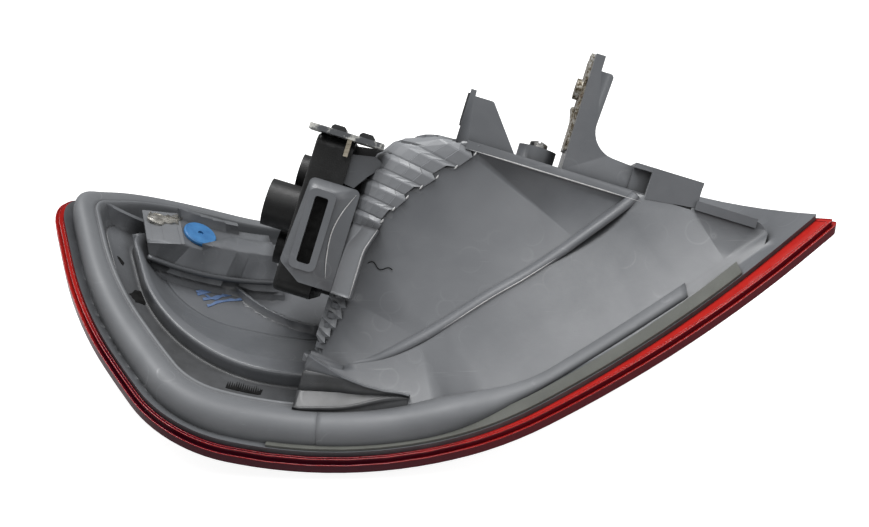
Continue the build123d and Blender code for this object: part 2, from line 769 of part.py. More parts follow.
def tall_bracket():
    """Tall plate with two swept gussets that run down to the hood."""
    foot = CHAMBER_TOP - OVERLAP
    plate = block(TALL_U, TALL_U + TALL_WALL, foot, TALL_TOP, BRACKET_W, BRACKET_W - TALL_DEPTH)
    corners = [
        (TALL_U, foot, 0),
        (TALL_U + GUSSET_FOOT, foot, 0),
        (TALL_U + GUSSET_FOOT, CHAMBER_TOP + HOOD_RISE - HOOD_SWEEP, 0),
        (TALL_U + GUSSET_WAIST, CHAMBER_TOP + HOOD_RISE, GUSSET_SWEEP),
        (TALL_U + GUSSET_HEAD, GUSSET_TOP, GUSSET_ROUND),
        (TALL_U, GUSSET_TOP, 0),
    ]
    near = slice_uv(rounded(corners), BRACKET_W, BRACKET_W - GUSSET_WALL)
    solid = plate + near + Pos(0, 0, GUSSET_WALL - TALL_DEPTH) * near
    w = BRACKET_W - TALL_DEPTH / 2
    return solid - barrel(HOLE_R + HOLE_ROOM, HOLE_V, w, TALL_U - OVERLAP, TALL_U + MARGIN)


def hood():
    """Block beside the bracket, with a thin wall on its left and top standing proud of its face."""
    top = CHAMBER_TOP + HOOD_RISE
    foot = CHAMBER_TOP - OVERLAP
    left = TALL_U + GUSSET_FOOT - OVERLAP
    far = WALL_W - HOOD_DEPTH
    core = block(HOOD_LEFT, HOOD_RIGHT, foot, top, WALL_W - HOOD_SET, far)
    back = block(left, HOOD_LEFT + OVERLAP, foot, top, WALL_W - NOTCH_SET, far)
    side = block(HOOD_LEFT, HOOD_LEFT + HOOD_WALL, foot, top, WALL_W, far)
    roof = block(left, HOOD_RIGHT, top - HOOD_WALL, top, WALL_W, far)
    return core + back + side + roof


def boss():
    solid = pin_bar(BOSS_R, CHAMBER_TOP - OVERLAP, CHAMBER_TOP + BOSS_RISE)
    return solid - pin_bar(PIN_SHANK_R, CHAMBER_TOP + BOSS_RISE - PIN_DEPTH, CHAMBER_TOP + BOSS_RISE)


def pin_bar(radius, low, high):
    return stand_uw(Pos(BOSS_U, BOSS_W) * Circle(radius), low, high)


def top_lip():
    """Thickened upper edge of the wall, stepping up with the top beside the hood."""
    low = CHAMBER_TOP - TOP_LIP
    near = WALL_W - RECESS
    end = block(HOOD_RIGHT - OVERLAP, CHAMBER_RIGHT - END_ROUND, low + END_RISE,
                CHAMBER_TOP + END_RISE + TOP_LIP_RISE, WALL_W + TOP_LIP_PROUD, near)
    return end + block(LIP_LEFT, HOOD_LEFT, low, CHAMBER_TOP + TOP_LIP_RISE,
                       near + TOP_LIP_PROUD, near - OVERLAP)


def foot_bar():
    """Small bar across the lower left corner, where the ledge's curve begins."""
    far = WALL_W - RECESS - FACET_DEPTH
    return block(BAR_LEFT, BAR_RIGHT, BAR_FOOT, BAR_FOOT + BAR_RISE, WALL_W - BAR_SET, far)


def chamber_shell():
    """Chamber with its facets, lip, brackets and latch, standing on the tray."""
    solid = chamber_solid(0) - recess() - facets() + top_lip() + foot_bar()
    solid += fin() + tall_bracket() + hood() + boss() + latch()
    return CHAMBER * (solid - chamber_hollow()) - face_slab(-BELOW, RIM_RISE + OVERLAP)


def housing():
    """One grey moulding: tray, arm, chamber and everything on the chamber's top."""
    body = tray() - tray_hollow() - CHAMBER * chamber_hollow() + chamber_shell() + arm() + bead()
    stem = vent_axis() * Pos(0, 0, -VENT_STEM / 2) * Cylinder(VENT_STEM_R, 2 * VENT_STEM)
    return body - arm_layer(-WALL, RIM_RISE, ARM_RISE - WALL) - stem


def sealing_strip():
    """Flat strip stuck on the near flange, from its square start to its square end."""
    band = prism(inset(FLANGE_CORNERS, STRIP_EDGE)) - prism(inset(FLANGE_CORNERS, STRIP_EDGE + STRIP_WIDTH))
    middle = (STRIP_START + STRIP_END) / 2
    run = tall(Pos(middle, 0) * Rectangle(STRIP_END - STRIP_START, STRIP_REACH))
    shoulder = prism(terrace_corners(FLANGE_WIDTH - SEAT_GAP))
    shoulder -= CHAMBER * wall_block(SHOULDER_END + SEAT_GAP, STRIP_REACH)
    strip = face_slab(FLANGE_TOP, FLANGE_TOP + STRIP_WALL) & band & run
    return strip - shoulder - CHAMBER * wall_block(BEAD_LEFT - SEAT_GAP, BEAD_WIDTH + SEAT_GAP)


def collar_ring():
    """Outline of the collar between carrier and chamber, less the opening inside it."""
    v = (COLLAR_FOOT + COLLAR_TOP) / 2
    w = (COLLAR_NEAR + COLLAR_FAR) / 2
    outline = RectangleRounded(COLLAR_TOP - COLLAR_FOOT, COLLAR_NEAR - COLLAR_FAR, 2 * COLLAR_WALL)
    return Pos(v, w) * outline - carrier_opening()


def carrier_gasket():
    """Soft ring that follows the chamber's left wall and dome."""
    ring = span_vw(collar_ring(), CHAMBER_LEFT - GASKET, CHAMBER_LEFT + 2 * GASKET)
    return ring - chamber_solid(0)


def bulb_carrier():
    """Black tray with a collar, socket barrels, plug shroud and the nose for the latch loop."""
    tray_box = block(CARRIER_LEFT, CARRIER_STEP, CARRIER_FOOT, CARRIER_TOP, CARRIER_FAR, CARRIER_NEAR)
    tray_box = fillet(tray_box.edges().filter_by(Axis.X), CARRIER_ROUND)
    tray_box = fillet(tray_box.faces().sort_by(Axis.X)[0].edges(), CARRIER_ROUND / 3)
    inside = block(CARRIER_LEFT + WALL, CARRIER_STEP - WALL, CARRIER_FOOT + WALL, CARRIER_TOP - WALL,
                   CARRIER_FAR + WALL, CARRIER_NEAR - WALL)
    shell = tray_box - inside - span_vw(carrier_opening(), CARRIER_STEP - 2 * WALL, CARRIER_STEP + OVERLAP)
    shell += span_vw(collar_ring(), CARRIER_STEP - OVERLAP, CHAMBER_LEFT - GASKET)
    nose = block(SLOT_U - SLOT_WIDTH / 2 + 2 * SEAT_GAP, SLOT_U + SLOT_WIDTH / 2 - 2 * SEAT_GAP,
                 SLOT_V - SLOT_LENGTH / 2 + NOSE_ROOM, SLOT_V + SLOT_LENGTH / 2 - NOSE_ROOM,
                 CARRIER_NEAR - OVERLAP, LATCH_W - NOSE_SET)
    shell += nose
    for name, v, w, radius, end, glass in BULBS:
        shell += barrel(radius, v, w, end, CARRIER_LEFT + WALL)
        shell += barrel(CAP_R + SOCKET_WALL, v, w, CARRIER_LEFT, SOCKET_END)
        shell -= barrel(CAP_R + SEAT_GAP, v, w, CAP_START - CONTACT_WALL, SOCKET_END + OVERLAP)
        shell -= barrel(radius - SOCKET_WALL, v, w, end - OVERLAP, end + BARREL_CUP)
    shroud = Pos(PLUG_V, PLUG_W) * RectangleRounded(PLUG_HEIGHT, PLUG_DEPTH, PLUG_WALL)
    bore = Pos(PLUG_V, PLUG_W) * Rectangle(PLUG_HEIGHT - 2 * PLUG_WALL, PLUG_DEPTH - 2 * PLUG_WALL)
    shell += span_vw(shroud, PLUG_LEFT, CARRIER_LEFT + OVERLAP)
    shell -= span_vw(bore, PLUG_LEFT - OVERLAP, CARRIER_LEFT)
    for offset in plug_pin_offsets():
        shell -= pin_blade(offset, SEAT_GAP / 3, CARRIER_LEFT - OVERLAP, CARRIER_LEFT + WALL + OVERLAP)
    return shell


def plug_pin_offsets():
    return [PLUG_PIN_PITCH * (index - (PLUG_PINS - 1) / 2) for index in range(PLUG_PINS)]


def pin_blade(offset, grow, left, right):
    outline = Rectangle(PLUG_PIN_WALL + 2 * grow, 2 * PLUG_PIN_WALL + 2 * grow)
    return span_vw(Pos(PLUG_V + offset, PLUG_W) * outline, left, right)


def plug_pins():
    """Contact blades of the plug, through the carrier's plate."""
    left = PLUG_LEFT + PLUG_PIN_BACK
    right = CARRIER_LEFT + WALL + CONTACT_WALL
    blades = [pin_blade(offset, 0, left, right) for offset in plug_pin_offsets()]
    return Compound(children=blades)


def base_contacts():
    """Round contacts at the bottom of the sockets."""
    discs = [barrel(CONTACT_R, v, w, CAP_START - CONTACT_WALL, CAP_START) for name, v, w, *rest in BULBS]
    return Compound(children=discs)


def bulb_cap(v, w):
    """Metal cap with two bayonet pins."""
    pin = Pos((SOCKET_END + CAP_END) / 2, v, w) * Cylinder(CAP_PIN_R, 2 * (CAP_R + CAP_PIN_PROUD))
    return barrel(CAP_R, v, w, CAP_START, CAP_END) + pin


def glass_form(v, w, radius, shrink):
    """Bulb envelope: a neck on the cap that opens into a ball."""
    neck = barrel(NECK_R - shrink, v, w, CAP_END + shrink, CAP_END + NECK_LENGTH + radius)
    return neck + Pos(CAP_END + NECK_LENGTH + radius, v, w) * Sphere(radius - shrink)


def bulb_glass(v, w, radius):
    mouth = barrel(NECK_R - GLASS_WALL, v, w, CAP_END - OVERLAP, CAP_END + OVERLAP)
    return glass_form(v, w, radius, 0) - glass_form(v, w, radius, GLASS_WALL) - mouth


def filament(v, w):
    """Two posts on the cap with a straight filament between them."""
    end = CAP_END + POST_LENGTH
    posts = barrel(POST_R, v, w - POST_SPREAD, CAP_END, end)
    posts += barrel(POST_R, v, w + POST_SPREAD, CAP_END, end)
    return posts + Pos(end - POST_R, v, w) * Cylinder(POST_R, 2 * POST_SPREAD)


def lead_frame(index, length):
    """Flat brass lead on the carrier's inner face."""
    near = LEAD_NEAR - index * LEAD_PITCH
    start = CARRIER_LEFT + WALL
    return block(start, start + LEAD_WALL, LEAD_FOOT, LEAD_FOOT + length, near, near - LEAD_WIDTH)


def contact_plate():
    """Strip across the carrier's top with a small hole at its left end."""
    far = PLATE_NEAR - PLATE_DEPTH
    plate = block(PLATE_LEFT, PLATE_RIGHT, CARRIER_TOP, CARRIER_TOP + PLATE_WALL, PLATE_NEAR, far)
    plate = fillet(plate.edges().filter_by(Axis.Y), PLATE_ROUND)
    hole = Pos(PLATE_LEFT + 3 * PLATE_HOLE_R, (PLATE_NEAR + far) / 2) * Circle(PLATE_HOLE_R)
    return plate - stand_uw(hole, CARRIER_TOP - OVERLAP, CARRIER_TOP + PLATE_WALL + OVERLAP)


def contact_clips():
    """Two black clips on the strip."""
    foot = CARRIER_TOP + PLATE_WALL
    clips = []
    for share in CLIP_SHARES:
        u = PLATE_LEFT + (PLATE_RIGHT - PLATE_LEFT) * share
        clip = block(u, u + CLIP_LENGTH, foot, foot + CLIP_RISE,
                     PLATE_NEAR - CLIP_EDGE, PLATE_NEAR - PLATE_DEPTH + CLIP_EDGE)
        clips.append(chamfer(clip.edges().filter_by(Axis.Z).group_by(Axis.Y)[-1], CLIP_RISE / 2))
    return Compound(children=clips)


def contact_blade():
    """Flat terminal that hangs from the strip beside the carrier's step."""
    near = PLATE_NEAR - LEAD_WALL
    foot = CARRIER_TOP - BLADE_LENGTH
    return block(BLADE_U, BLADE_U + BLADE_WIDTH, foot, CARRIER_TOP, near, near - LEAD_WALL)


def reflector():
    """Metallised liner on the chamber's inner walls, open to the lens and to the bulbs."""
    solid = hollow_form(SEAT_GAP) - hollow_form(SEAT_GAP + LINER_WALL)
    solid -= span_vw(carrier_opening(), CHAMBER_LEFT - MARGIN, CHAMBER_LEFT + MARGIN)
    return CHAMBER * solid - face_slab(-BELOW, LINER_FOOT)


def locating_pin():
    """Slotted steel pin whose thinner shank is pressed into the boss."""
    seat = CHAMBER_TOP + BOSS_RISE
    bar = pin_bar(PIN_SHANK_R, seat - PIN_DEPTH, seat) + pin_bar(PIN_R, seat, seat + PIN_RISE)
    ball = (PIN_R ** 2 + PIN_DOME ** 2) / (2 * PIN_DOME)
    dome = Pos(BOSS_U, seat + PIN_RISE + PIN_DOME - ball, BOSS_W) * Sphere(ball)
    dome &= pin_bar(PIN_R, seat + PIN_RISE - OVERLAP, seat + PIN_RISE + PIN_DOME + OVERLAP)
    slot = block(BOSS_U - PIN_SLOT / 2, BOSS_U + PIN_SLOT / 2, seat + PIN_RISE, seat + MARGIN,
                 BOSS_W - 2 * PIN_R, BOSS_W + 2 * PIN_R)
    return bar + dome - slot


def bracket_nut():
    """Steel clip on the bracket's left face, with a drawn collar and a sprung tongue."""
    w = BRACKET_W - TALL_DEPTH / 2
    left = TALL_U - NUT_WALL
    plate = block(left, TALL_U, NUT_FOOT, TALL_TOP - OVERLAP, w - NUT_HALF, w + NUT_HALF)
    top = TALL_TOP + NUT_WALL
    fold = block(left, TALL_U + TALL_WALL, TALL_TOP, top, w - NUT_HALF / 2, w + NUT_HALF / 2)
    fold += block(left, TALL_U, TALL_TOP - 2 * OVERLAP, top, w - NUT_HALF / 2, w + NUT_HALF / 2)
    collar = barrel(NUT_COLLAR_R, HOLE_V, w, left - NUT_COLLAR, left + OVERLAP)
    tongue = Rot(0, 0, TONGUE_TURN) * Box(TONGUE_WALL, TONGUE_LENGTH, NUT_HALF)
    tongue = Pos(left, TONGUE_V, w) * tongue
    tongue -= block(TALL_U, TALL_U + MARGIN, NUT_FOOT, TALL_TOP, w - NUT_HALF, w + NUT_HALF)
    return plate + fold + collar + tongue - barrel(HOLE_R, HOLE_V, w, left - MARGIN, TALL_U + OVERLAP)


def fin_pad():
    """Thin strip stuck to the fin's left face."""
    return block(FIN_U - PAD_WALL, FIN_U, PAD_FOOT, FIN_TOP - PAD_EDGE,
                 BRACKET_W - PAD_EDGE, BRACKET_W - FIN_DEPTH + PAD_EDGE)


def arm_clip():
    """Small bent clip on the left end of the arm."""
    outline = arm_spot(CLIP_REACH / 2 - CLIP_WALL, ARM_WIDTH / 2) * Rectangle(CLIP_REACH, ARM_WIDTH / 2)
    return face_slab(ARM_RISE + SEAT_GAP, ARM_RISE + SEAT_GAP + CLIP_WALL) & tall(outline)


def place(shape):
    """Move a shape from the chamber's axes to the lamp's."""
    return CHAMBER * shape


def nodes():
    """Every piece by name, lens down, before the origin is moved to the pin's seat."""
    made = {
        "lens": lens(),
        "housing": housing(),
        "reflex_insert": reflex_insert(),
        "sealing_strip": sealing_strip(),
        "reflector": reflector(),
        "vent_plug": vent_plug(),
        "arm_clip": arm_clip(),
        "bulb_carrier": place(bulb_carrier()),
        "carrier_gasket": place(carrier_gasket()),
        "plug_pins": place(plug_pins()),
        "base_contacts": place(base_contacts()),
        "contact_plate": place(contact_plate()),
        "contact_clips": place(contact_clips()),
        "contact_blade": place(contact_blade()),
        "locating_pin": place(locating_pin()),
        "bracket_nut": place(bracket_nut()),
        "fin_pad": place(fin_pad()),
    }
    for name, v, w, radius, end, glass in BULBS:
        made[f"{name}_bulb_cap"] = place(bulb_cap(v, w))
        made[f"{name}_bulb_glass"] = place(bulb_glass(v, w, glass))
        made[f"{name}_bulb_filament"] = place(filament(v, w))
    for index, (name, length) in enumerate(LEADS):
        made[name] = place(lead_frame(index, length))
    return made


def main():
    os.makedirs("parts", exist_ok=True)
    seat = CHAMBER.from_local_coords(Vector(BOSS_U, CHAMBER_TOP + BOSS_RISE, BOSS_W))
    for name, shape in nodes().items():
        export_step(Pos(-seat.X, -seat.Y, -seat.Z) * shape, f"parts/{name}.step")


if __name__ == "__main__":
    main()
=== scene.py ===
"""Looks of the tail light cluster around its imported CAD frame, in metres."""
import json
import math
import random

import bmesh
import bpy
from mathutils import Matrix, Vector


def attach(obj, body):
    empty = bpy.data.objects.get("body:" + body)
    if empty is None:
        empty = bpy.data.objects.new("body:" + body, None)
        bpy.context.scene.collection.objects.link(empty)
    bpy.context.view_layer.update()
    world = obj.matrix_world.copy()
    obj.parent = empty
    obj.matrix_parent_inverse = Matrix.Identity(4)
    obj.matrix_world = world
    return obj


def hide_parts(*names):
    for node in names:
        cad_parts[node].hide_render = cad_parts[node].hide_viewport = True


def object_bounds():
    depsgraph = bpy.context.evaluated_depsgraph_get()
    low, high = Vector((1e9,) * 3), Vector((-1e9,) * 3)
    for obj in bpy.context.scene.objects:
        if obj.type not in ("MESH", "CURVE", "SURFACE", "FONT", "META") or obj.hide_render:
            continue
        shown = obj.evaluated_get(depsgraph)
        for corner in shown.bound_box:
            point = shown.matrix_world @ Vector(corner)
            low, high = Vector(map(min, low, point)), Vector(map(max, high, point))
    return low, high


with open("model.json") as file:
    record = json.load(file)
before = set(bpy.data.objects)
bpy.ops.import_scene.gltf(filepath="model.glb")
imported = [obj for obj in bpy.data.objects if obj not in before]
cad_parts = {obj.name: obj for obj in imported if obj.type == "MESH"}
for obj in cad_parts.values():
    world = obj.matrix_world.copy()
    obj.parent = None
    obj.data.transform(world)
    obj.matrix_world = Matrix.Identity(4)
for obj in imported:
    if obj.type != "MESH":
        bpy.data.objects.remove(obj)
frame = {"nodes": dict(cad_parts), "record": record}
cad_box = [[float(v) for v in corner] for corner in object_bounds()]
random.seed(7)

# Lamp sizes in millimetres, as in the solids
PIN_SEAT = Vector((106.0216, 102.5825, 136.0281))
FACE_X, FACE_R, FACE_END_R, FACE_RIGHT_TURN = 3.0, 223.0, 2000.0, 29.0
CROWN_R, CROWN_Y = 700.0, 95.0
LENS_CORNERS = [(-165.5, 147.5, 40.0), (-138.4, 71.1, 225.0), (-82.5, -4.6, 62.0), (155.5, -4.0, 345.0),
                (252.0, 48.0, 4.0), (188.0, 165.0, 45.0), (40.0, 245.0, 80.0), (-122.0, 214.0, 112.0)]
LEDGES = [5.0, 5.0, 6.0, 13.0, 3.0, 5.0, 5.0, 5.0]
BASIN_RIGHT, WALL_W = 110.0, -9.0
RIDGE_1 = [20.0, 23.0, 26.0, 26.0, 26.0, 19.0, 19.0, 19.0]
RIDGE_2, CREST, BASIN = (36.0, 58.0, 36.0, 80.0), (39.0, 71.0, 40.0, 70.0), (47.0, 106.0, 44.0, 45.0)
TRAY_EYE = Vector((-45.0, 130.0))
LEAN, ROLL, CHAMBER_FOOT = 28.0, 17.0, Vector((0.0, 0.0, 7.0))
CHAMBER_LEFT, CHAMBER_TOP, RECESS = -27.0, 177.3, 5.0
LATCH_W = -4.0
ARM_CORNER, ARM_TURN = (-109.0, 131.0), 15.5

# Heights above the lens's outer face, in millimetres
FLANGE_TOP, SHOULDER_RISE, TRAY_FLOOR = 8.8, 14.0, 14.2
SHOULDER_FOOT, SHOULDER_TOP = 4.6, 15.8

# Photograph: focal length and width in pixels, degrees that it looks down, place of the eye in millimetres
PHOTO_FOCAL, PHOTO_WIDTH, PHOTO_DOWN, PHOTO_EYE = 1400.0, 869.0, 28.0, (52.25, -570.06, 425.91)
SENSOR = 36.0


def row(point):
    """Millimetres in the lamp's own frame to metres in the row's frame."""
    return (Vector(point) - PIN_SEAT) / 1000


def chamber_axes():
    lean, roll = math.radians(LEAN), math.radians(ROLL)
    up = Vector((0, math.sin(lean), math.cos(lean)))
    out = Vector((0, -math.cos(lean), math.sin(lean)))
    along = Vector((1, 0, 0)) * math.cos(roll) - up * math.sin(roll)
    return along, out.cross(along), out


AXIS_U, AXIS_V, AXIS_W = chamber_axes()


def chamber(u, v, w):
    """Point given along the chamber, up its wall and out of it, in metres in the row's frame."""
    return row(CHAMBER_FOOT + AXIS_U * u + AXIS_V * v + AXIS_W * w)


def face_z(x, y, rise):
    """Height of the layer that lies this far above the lens's outer face."""
    crown = math.sqrt((CROWN_R - rise) ** 2 - (y - CROWN_Y) ** 2) - CROWN_R
    bend = math.radians(FACE_RIGHT_TURN)
    if x > FACE_X + (FACE_R + crown) * math.sin(bend):
        centre_x = FACE_X - (FACE_END_R - FACE_R) * math.sin(bend)
        centre_z = FACE_R + (FACE_END_R - FACE_R) * math.cos(bend)
        return centre_z - math.sqrt((FACE_END_R + crown) ** 2 - (x - centre_x) ** 2)
    return FACE_R - math.sqrt((FACE_R + crown) ** 2 - (x - FACE_X) ** 2)


def on_face(x, y, rise):
    return row((x, y, face_z(x, y, rise)))


# Materials

class Paint:
    """Principled material with short ways to add procedural detail, in object coordinates."""

    def __init__(self, name):
        self.material = bpy.data.materials.new(name)
        self.material.use_nodes = True
        self.tree = self.material.node_tree
        self.shader = self.tree.nodes["Principled BSDF"]
        self.coords = self.tree.nodes.new("ShaderNodeTexCoord").outputs["Object"]

    def set(self, **values):
        for name, value in values.items():
            self.shader.inputs[name.replace("_", " ")].default_value = value
        return self

    def node(self, kind, **settings):
        node = self.tree.nodes.new(kind)
        for name, value in settings.items():
            setattr(node, name, value)
        return node

    def link(self, source, target):
        self.tree.links.new(source, target)

    def feed(self, node, values):
        for name, value in values.items():
            if isinstance(value, bpy.types.NodeSocket):
                self.link(value, node.inputs[name])
            else:
                node.inputs[name].default_value = value

    def mapped(self, scale, turn=(0, 0, 0)):
        node = self.node("ShaderNodeMapping")
        self.link(self.coords, node.inputs["Vector"])
        node.inputs["Scale"].default_value = scale
        node.inputs["Rotation"].default_value = [math.radians(a) for a in turn]
        return node.outputs["Vector"]

    def noise(self, scale, detail=3.0, rough=0.55, warp=0.0, where=None):
        node = self.node("ShaderNodeTexNoise")
        self.link(where or self.coords, node.inputs["Vector"])
        self.feed(node, {"Scale": scale, "Detail": detail, "Roughness": rough, "Distortion": warp})
        return node.outputs["Fac"]

    def cells(self, scale, feature="F1", where=None):
        node = self.node("ShaderNodeTexVoronoi", feature=feature)
        self.link(where or self.coords, node.inputs["Vector"])
        node.inputs["Scale"].default_value = scale
        return node.outputs["Distance"]

    def ramp(self, source, *stops):
        node = self.node("ShaderNodeValToRGB")
        ramp = node.color_ramp
        while len(ramp.elements) < len(stops):
            ramp.elements.new(0.5)
        for element, (place, value) in zip(ramp.elements, stops):
            element.position = place
            element.color = (*value, 1) if isinstance(value, tuple) else (value, value, value, 1)
        self.link(source, node.inputs["Fac"])
        return node.outputs["Color"]

    def math(self, operation, first, second=0.5, clamp=False):
        node = self.node("ShaderNodeMath", operation=operation, use_clamp=clamp)
        for index, value in enumerate((first, second)):
            if isinstance(value, bpy.types.NodeSocket):
                self.link(value, node.inputs[index])
            else:
                node.inputs[index].default_value = value
        return node.outputs[0]

    def mix(self, share, first, second, blend="MIX"):
        node = self.node("ShaderNodeMix", data_type="RGBA", blend_type=blend)
        node.clamp_factor = True
        for index, value in ((0, share), (6, first), (7, second)):
            if isinstance(value, bpy.types.NodeSocket):
                self.link(value, node.inputs[index])
            else:
                node.inputs[index].default_value = (*value, 1) if isinstance(value, tuple) else value
        return node.outputs[2]

    def color(self, socket):
        self.link(socket, self.shader.inputs["Base Color"])
        return self

    def rough(self, socket):
        self.link(socket, self.shader.inputs["Roughness"])
        return self

    def bump(self, height, strength, distance=0.0004):
        node = self.node("ShaderNodeBump")
        node.inputs["Strength"].default_value = strength
        node.inputs["Distance"].default_value = distance
        self.link(height, node.inputs["Height"])
        self.link(node.outputs["Normal"], self.shader.inputs["Normal"])
        return self

    def upward(self):
        """Share by which a surface faces up."""
        geometry = self.node("ShaderNodeNewGeometry")
        split = self.node("ShaderNodeSeparateXYZ")
        self.link(geometry.outputs["Normal"], split.inputs["Vector"])
        return split.outputs["Z"]


def grey_moulding(name, low, high, hollow_shade_and_dirt, shade_grime_span=None, gloss=(0.32, 0.45)):
    """Semi-gloss moulded plastic: cloudy tone, dried drops, hair scratches, specks, dust and painted shade in the
    hollows, and, when a span is given, painted shade that darkens it towards lower Y.
    """
    paint = Paint(name)
    cloud = paint.ramp(paint.noise(16, 4, 0.6, 0.4), (0.32, low), (0.7, high))
    drops = paint.ramp(paint.cells(62), (0.36, 0.0), (0.405, 1.0), (0.43, 0.0))
    spread = paint.ramp(paint.noise(30, 2), (0.5, 0.0), (0.62, 1.0))
    drops = paint.math("MULTIPLY", drops, spread)
    worn = paint.ramp(paint.noise(9, 3, 0.5, 0.0, paint.mapped((3, 160, 60), (20, 35, 12))), (0.66, 0.0), (0.72, 1.0))
    worn = paint.math("MULTIPLY", worn, paint.ramp(paint.noise(24, 2), (0.48, 0.0), (0.6, 1.0)))
    tone = paint.mix(paint.math("MULTIPLY", drops, 0.09), cloud, (0.42, 0.43, 0.44))
    tone = paint.mix(paint.math("MULTIPLY", worn, 0.12), tone, (0.42, 0.43, 0.44))
    specks = paint.ramp(paint.cells(520), (0.05, 1.0), (0.085, 0.0))
    specks = paint.math("MULTIPLY", specks, paint.ramp(paint.noise(60, 2), (0.6, 0.0), (0.66, 1.0)))
    tone = paint.mix(paint.math("MULTIPLY", specks, 0.7), tone, (0.03, 0.03, 0.032))
    # Dust and painted shade: ambient occlusion darkens the hollows and creases, in patches.
    shelter = paint.node("ShaderNodeAmbientOcclusion", samples=6)
    shelter.inputs["Distance"].default_value = 0.013
    hollow = paint.ramp(shelter.outputs["AO"], (0.35, 1.0), (0.9, 0.0))
    patchy = paint.ramp(paint.noise(42, 5, 0.7), (0.3, 0.55), (0.7, 1.0))
    shade_and_dust = paint.math("MULTIPLY", paint.math("MULTIPLY", hollow, patchy), hollow_shade_and_dirt)
    tone = paint.mix(shade_and_dust, tone, (0.018, 0.018, 0.018))
    # Painted shade with some soiling: noisy darkening towards lower Y across the given span, for the troughs.
    if shade_grime_span:
        split = paint.node("ShaderNodeSeparateXYZ")
        paint.link(paint.coords, split.inputs["Vector"])
        near = paint.node("ShaderNodeMapRange", interpolation_type="SMOOTHSTEP")
        paint.feed(near, {"Value": split.outputs["Y"], "From Min": shade_grime_span[0], "From Max": shade_grime_span[1]})
        shade_grime_share = paint.ramp(paint.noise(55, 4, 0.65), (0.28, 0.6), (0.72, 1.0))
        shade_grime_share = paint.math("MULTIPLY", near.outputs[0], shade_grime_share)
        tone = paint.mix(paint.math("MULTIPLY", shade_grime_share, 0.85), tone, (0.022, 0.022, 0.022))
    paint.color(tone)
    sheen = paint.ramp(paint.noise(34, 4, 0.6), (0.3, gloss[0]), (0.75, gloss[1]))
    paint.rough(paint.mix(drops, sheen, (0.26, 0.26, 0.26)))
    paint.bump(paint.math("ADD", paint.noise(420, 3), paint.math("MULTIPLY", worn, 0.8)), 0.07)
    return paint.set(Specular_IOR_Level=0.5).material


def red_lens():
    """Red acrylic with painted light: at the lamp's left and right ends, faces that point up are painted bright red,
    standing for light coming through; maroon between.
    """
    paint = Paint("lens_red")
    split = paint.node("ShaderNodeSeparateXYZ")
    paint.link(paint.coords, split.inputs["Vector"])
    right = paint.node("ShaderNodeMapRange", interpolation_type="SMOOTHSTEP")
    paint.feed(right, {"Value": split.outputs["X"], "From Min": -0.1, "From Max": -0.005})
    left = paint.node("ShaderNodeMapRange", interpolation_type="SMOOTHSTEP")
    paint.feed(left, {"Value": split.outputs["X"], "From Min": -0.222, "From Max": -0.247})
    lit = paint.math("MAXIMUM", right.outputs[0], left.outputs[0])
    # Painted light: how far a face points up sets how bright it is painted.
    facing = paint.math("ADD", paint.upward(), paint.math("MULTIPLY", paint.noise(60, 3), 0.16))
    faces = paint.ramp(facing, (0.22, 0.12), (0.6, 1.0))
    share = paint.math("MULTIPLY", lit, faces)
    smear = paint.ramp(paint.noise(130, 4, 0.65), (0.42, 0.0), (0.8, 0.45))
    deep = paint.mix(smear, (0.05, 0.003, 0.009), (0.024, 0.002, 0.007))
    bright = paint.mix(smear, (0.42, 0.018, 0.014), (0.26, 0.009, 0.009))
    tone = paint.mix(share, deep, bright)
    paint.color(tone)
    paint.rough(paint.ramp(paint.noise(90, 3), (0.35, 0.07), (0.75, 0.2)))
    paint.bump(paint.noise(300, 2), 0.03)
    return paint.set(Specular_IOR_Level=0.2).material


def plain_tone(name, low, high, rough, shine=0.5):
    """Matt or glossy tone with fine cloudy variation."""
    paint = Paint(name)
    paint.color(paint.ramp(paint.noise(260, 4, 0.65), (0.3, low), (0.72, high)))
    paint.rough(paint.ramp(paint.noise(320, 3), (0.3, rough), (0.75, rough + 0.15)))
    return paint.set(Specular_IOR_Level=shine).bump(paint.noise(700, 3), 0.15).material


def olive_strip():
    paint = Paint("strip_olive")
    tone = paint.ramp(paint.noise(40, 4, 0.6), (0.3, (0.085, 0.088, 0.078)), (0.72, (0.112, 0.116, 0.104)))
    fleck = paint.ramp(paint.cells(420), (0.06, 1.0), (0.1, 0.0))
    tone = paint.mix(paint.math("MULTIPLY", fleck, 0.4), tone, (0.3, 0.3, 0.28))
    paint.color(tone)
    paint.rough(paint.ramp(paint.noise(160, 3), (0.3, 0.42), (0.8, 0.6)))
    return paint.bump(paint.noise(800, 3), 0.12).material


def black_moulding(name, level, grain):
    """Grained black plastic with pale rubbed haze."""
    paint = Paint(name)
    haze = paint.ramp(paint.noise(70, 5, 0.7), (0.42, 0.0), (0.85, 1.0))
    tone = paint.mix(haze, (level, level * 1.03, level * 1.08), (level * 3, level * 3.1, level * 3.2))
    fleck = paint.ramp(paint.cells(900), (0.05, 1.0), (0.12, 0.0))
    fleck = paint.math("MULTIPLY", fleck, paint.ramp(paint.noise(120, 2), (0.5, 0.0), (0.62, 0.6)))
    paint.color(paint.mix(fleck, tone, (0.12, 0.12, 0.125)))
    paint.rough(paint.ramp(paint.noise(240, 3), (0.3, 0.34), (0.75, 0.56)))
    paint.bump(paint.noise(grain, 4, 0.7), 0.35, 0.0003)
    return paint.set(Specular_IOR_Level=0.4).material


def plain_metal(name, low, high, rough):
    """Bare metal with brushed streaks and dull patches."""
    paint = Paint(name)
    streak = paint.noise(30, 3, 0.6, 0.0, paint.mapped((2, 40, 40), (0, 20, 10)))
    paint.color(paint.ramp(streak, (0.3, low), (0.75, high)))
    paint.rough(paint.ramp(paint.noise(180, 3), (0.3, rough), (0.8, rough + 0.22)))
    paint.bump(paint.noise(600, 3), 0.1)
    return paint.set(Metallic=1.0).material


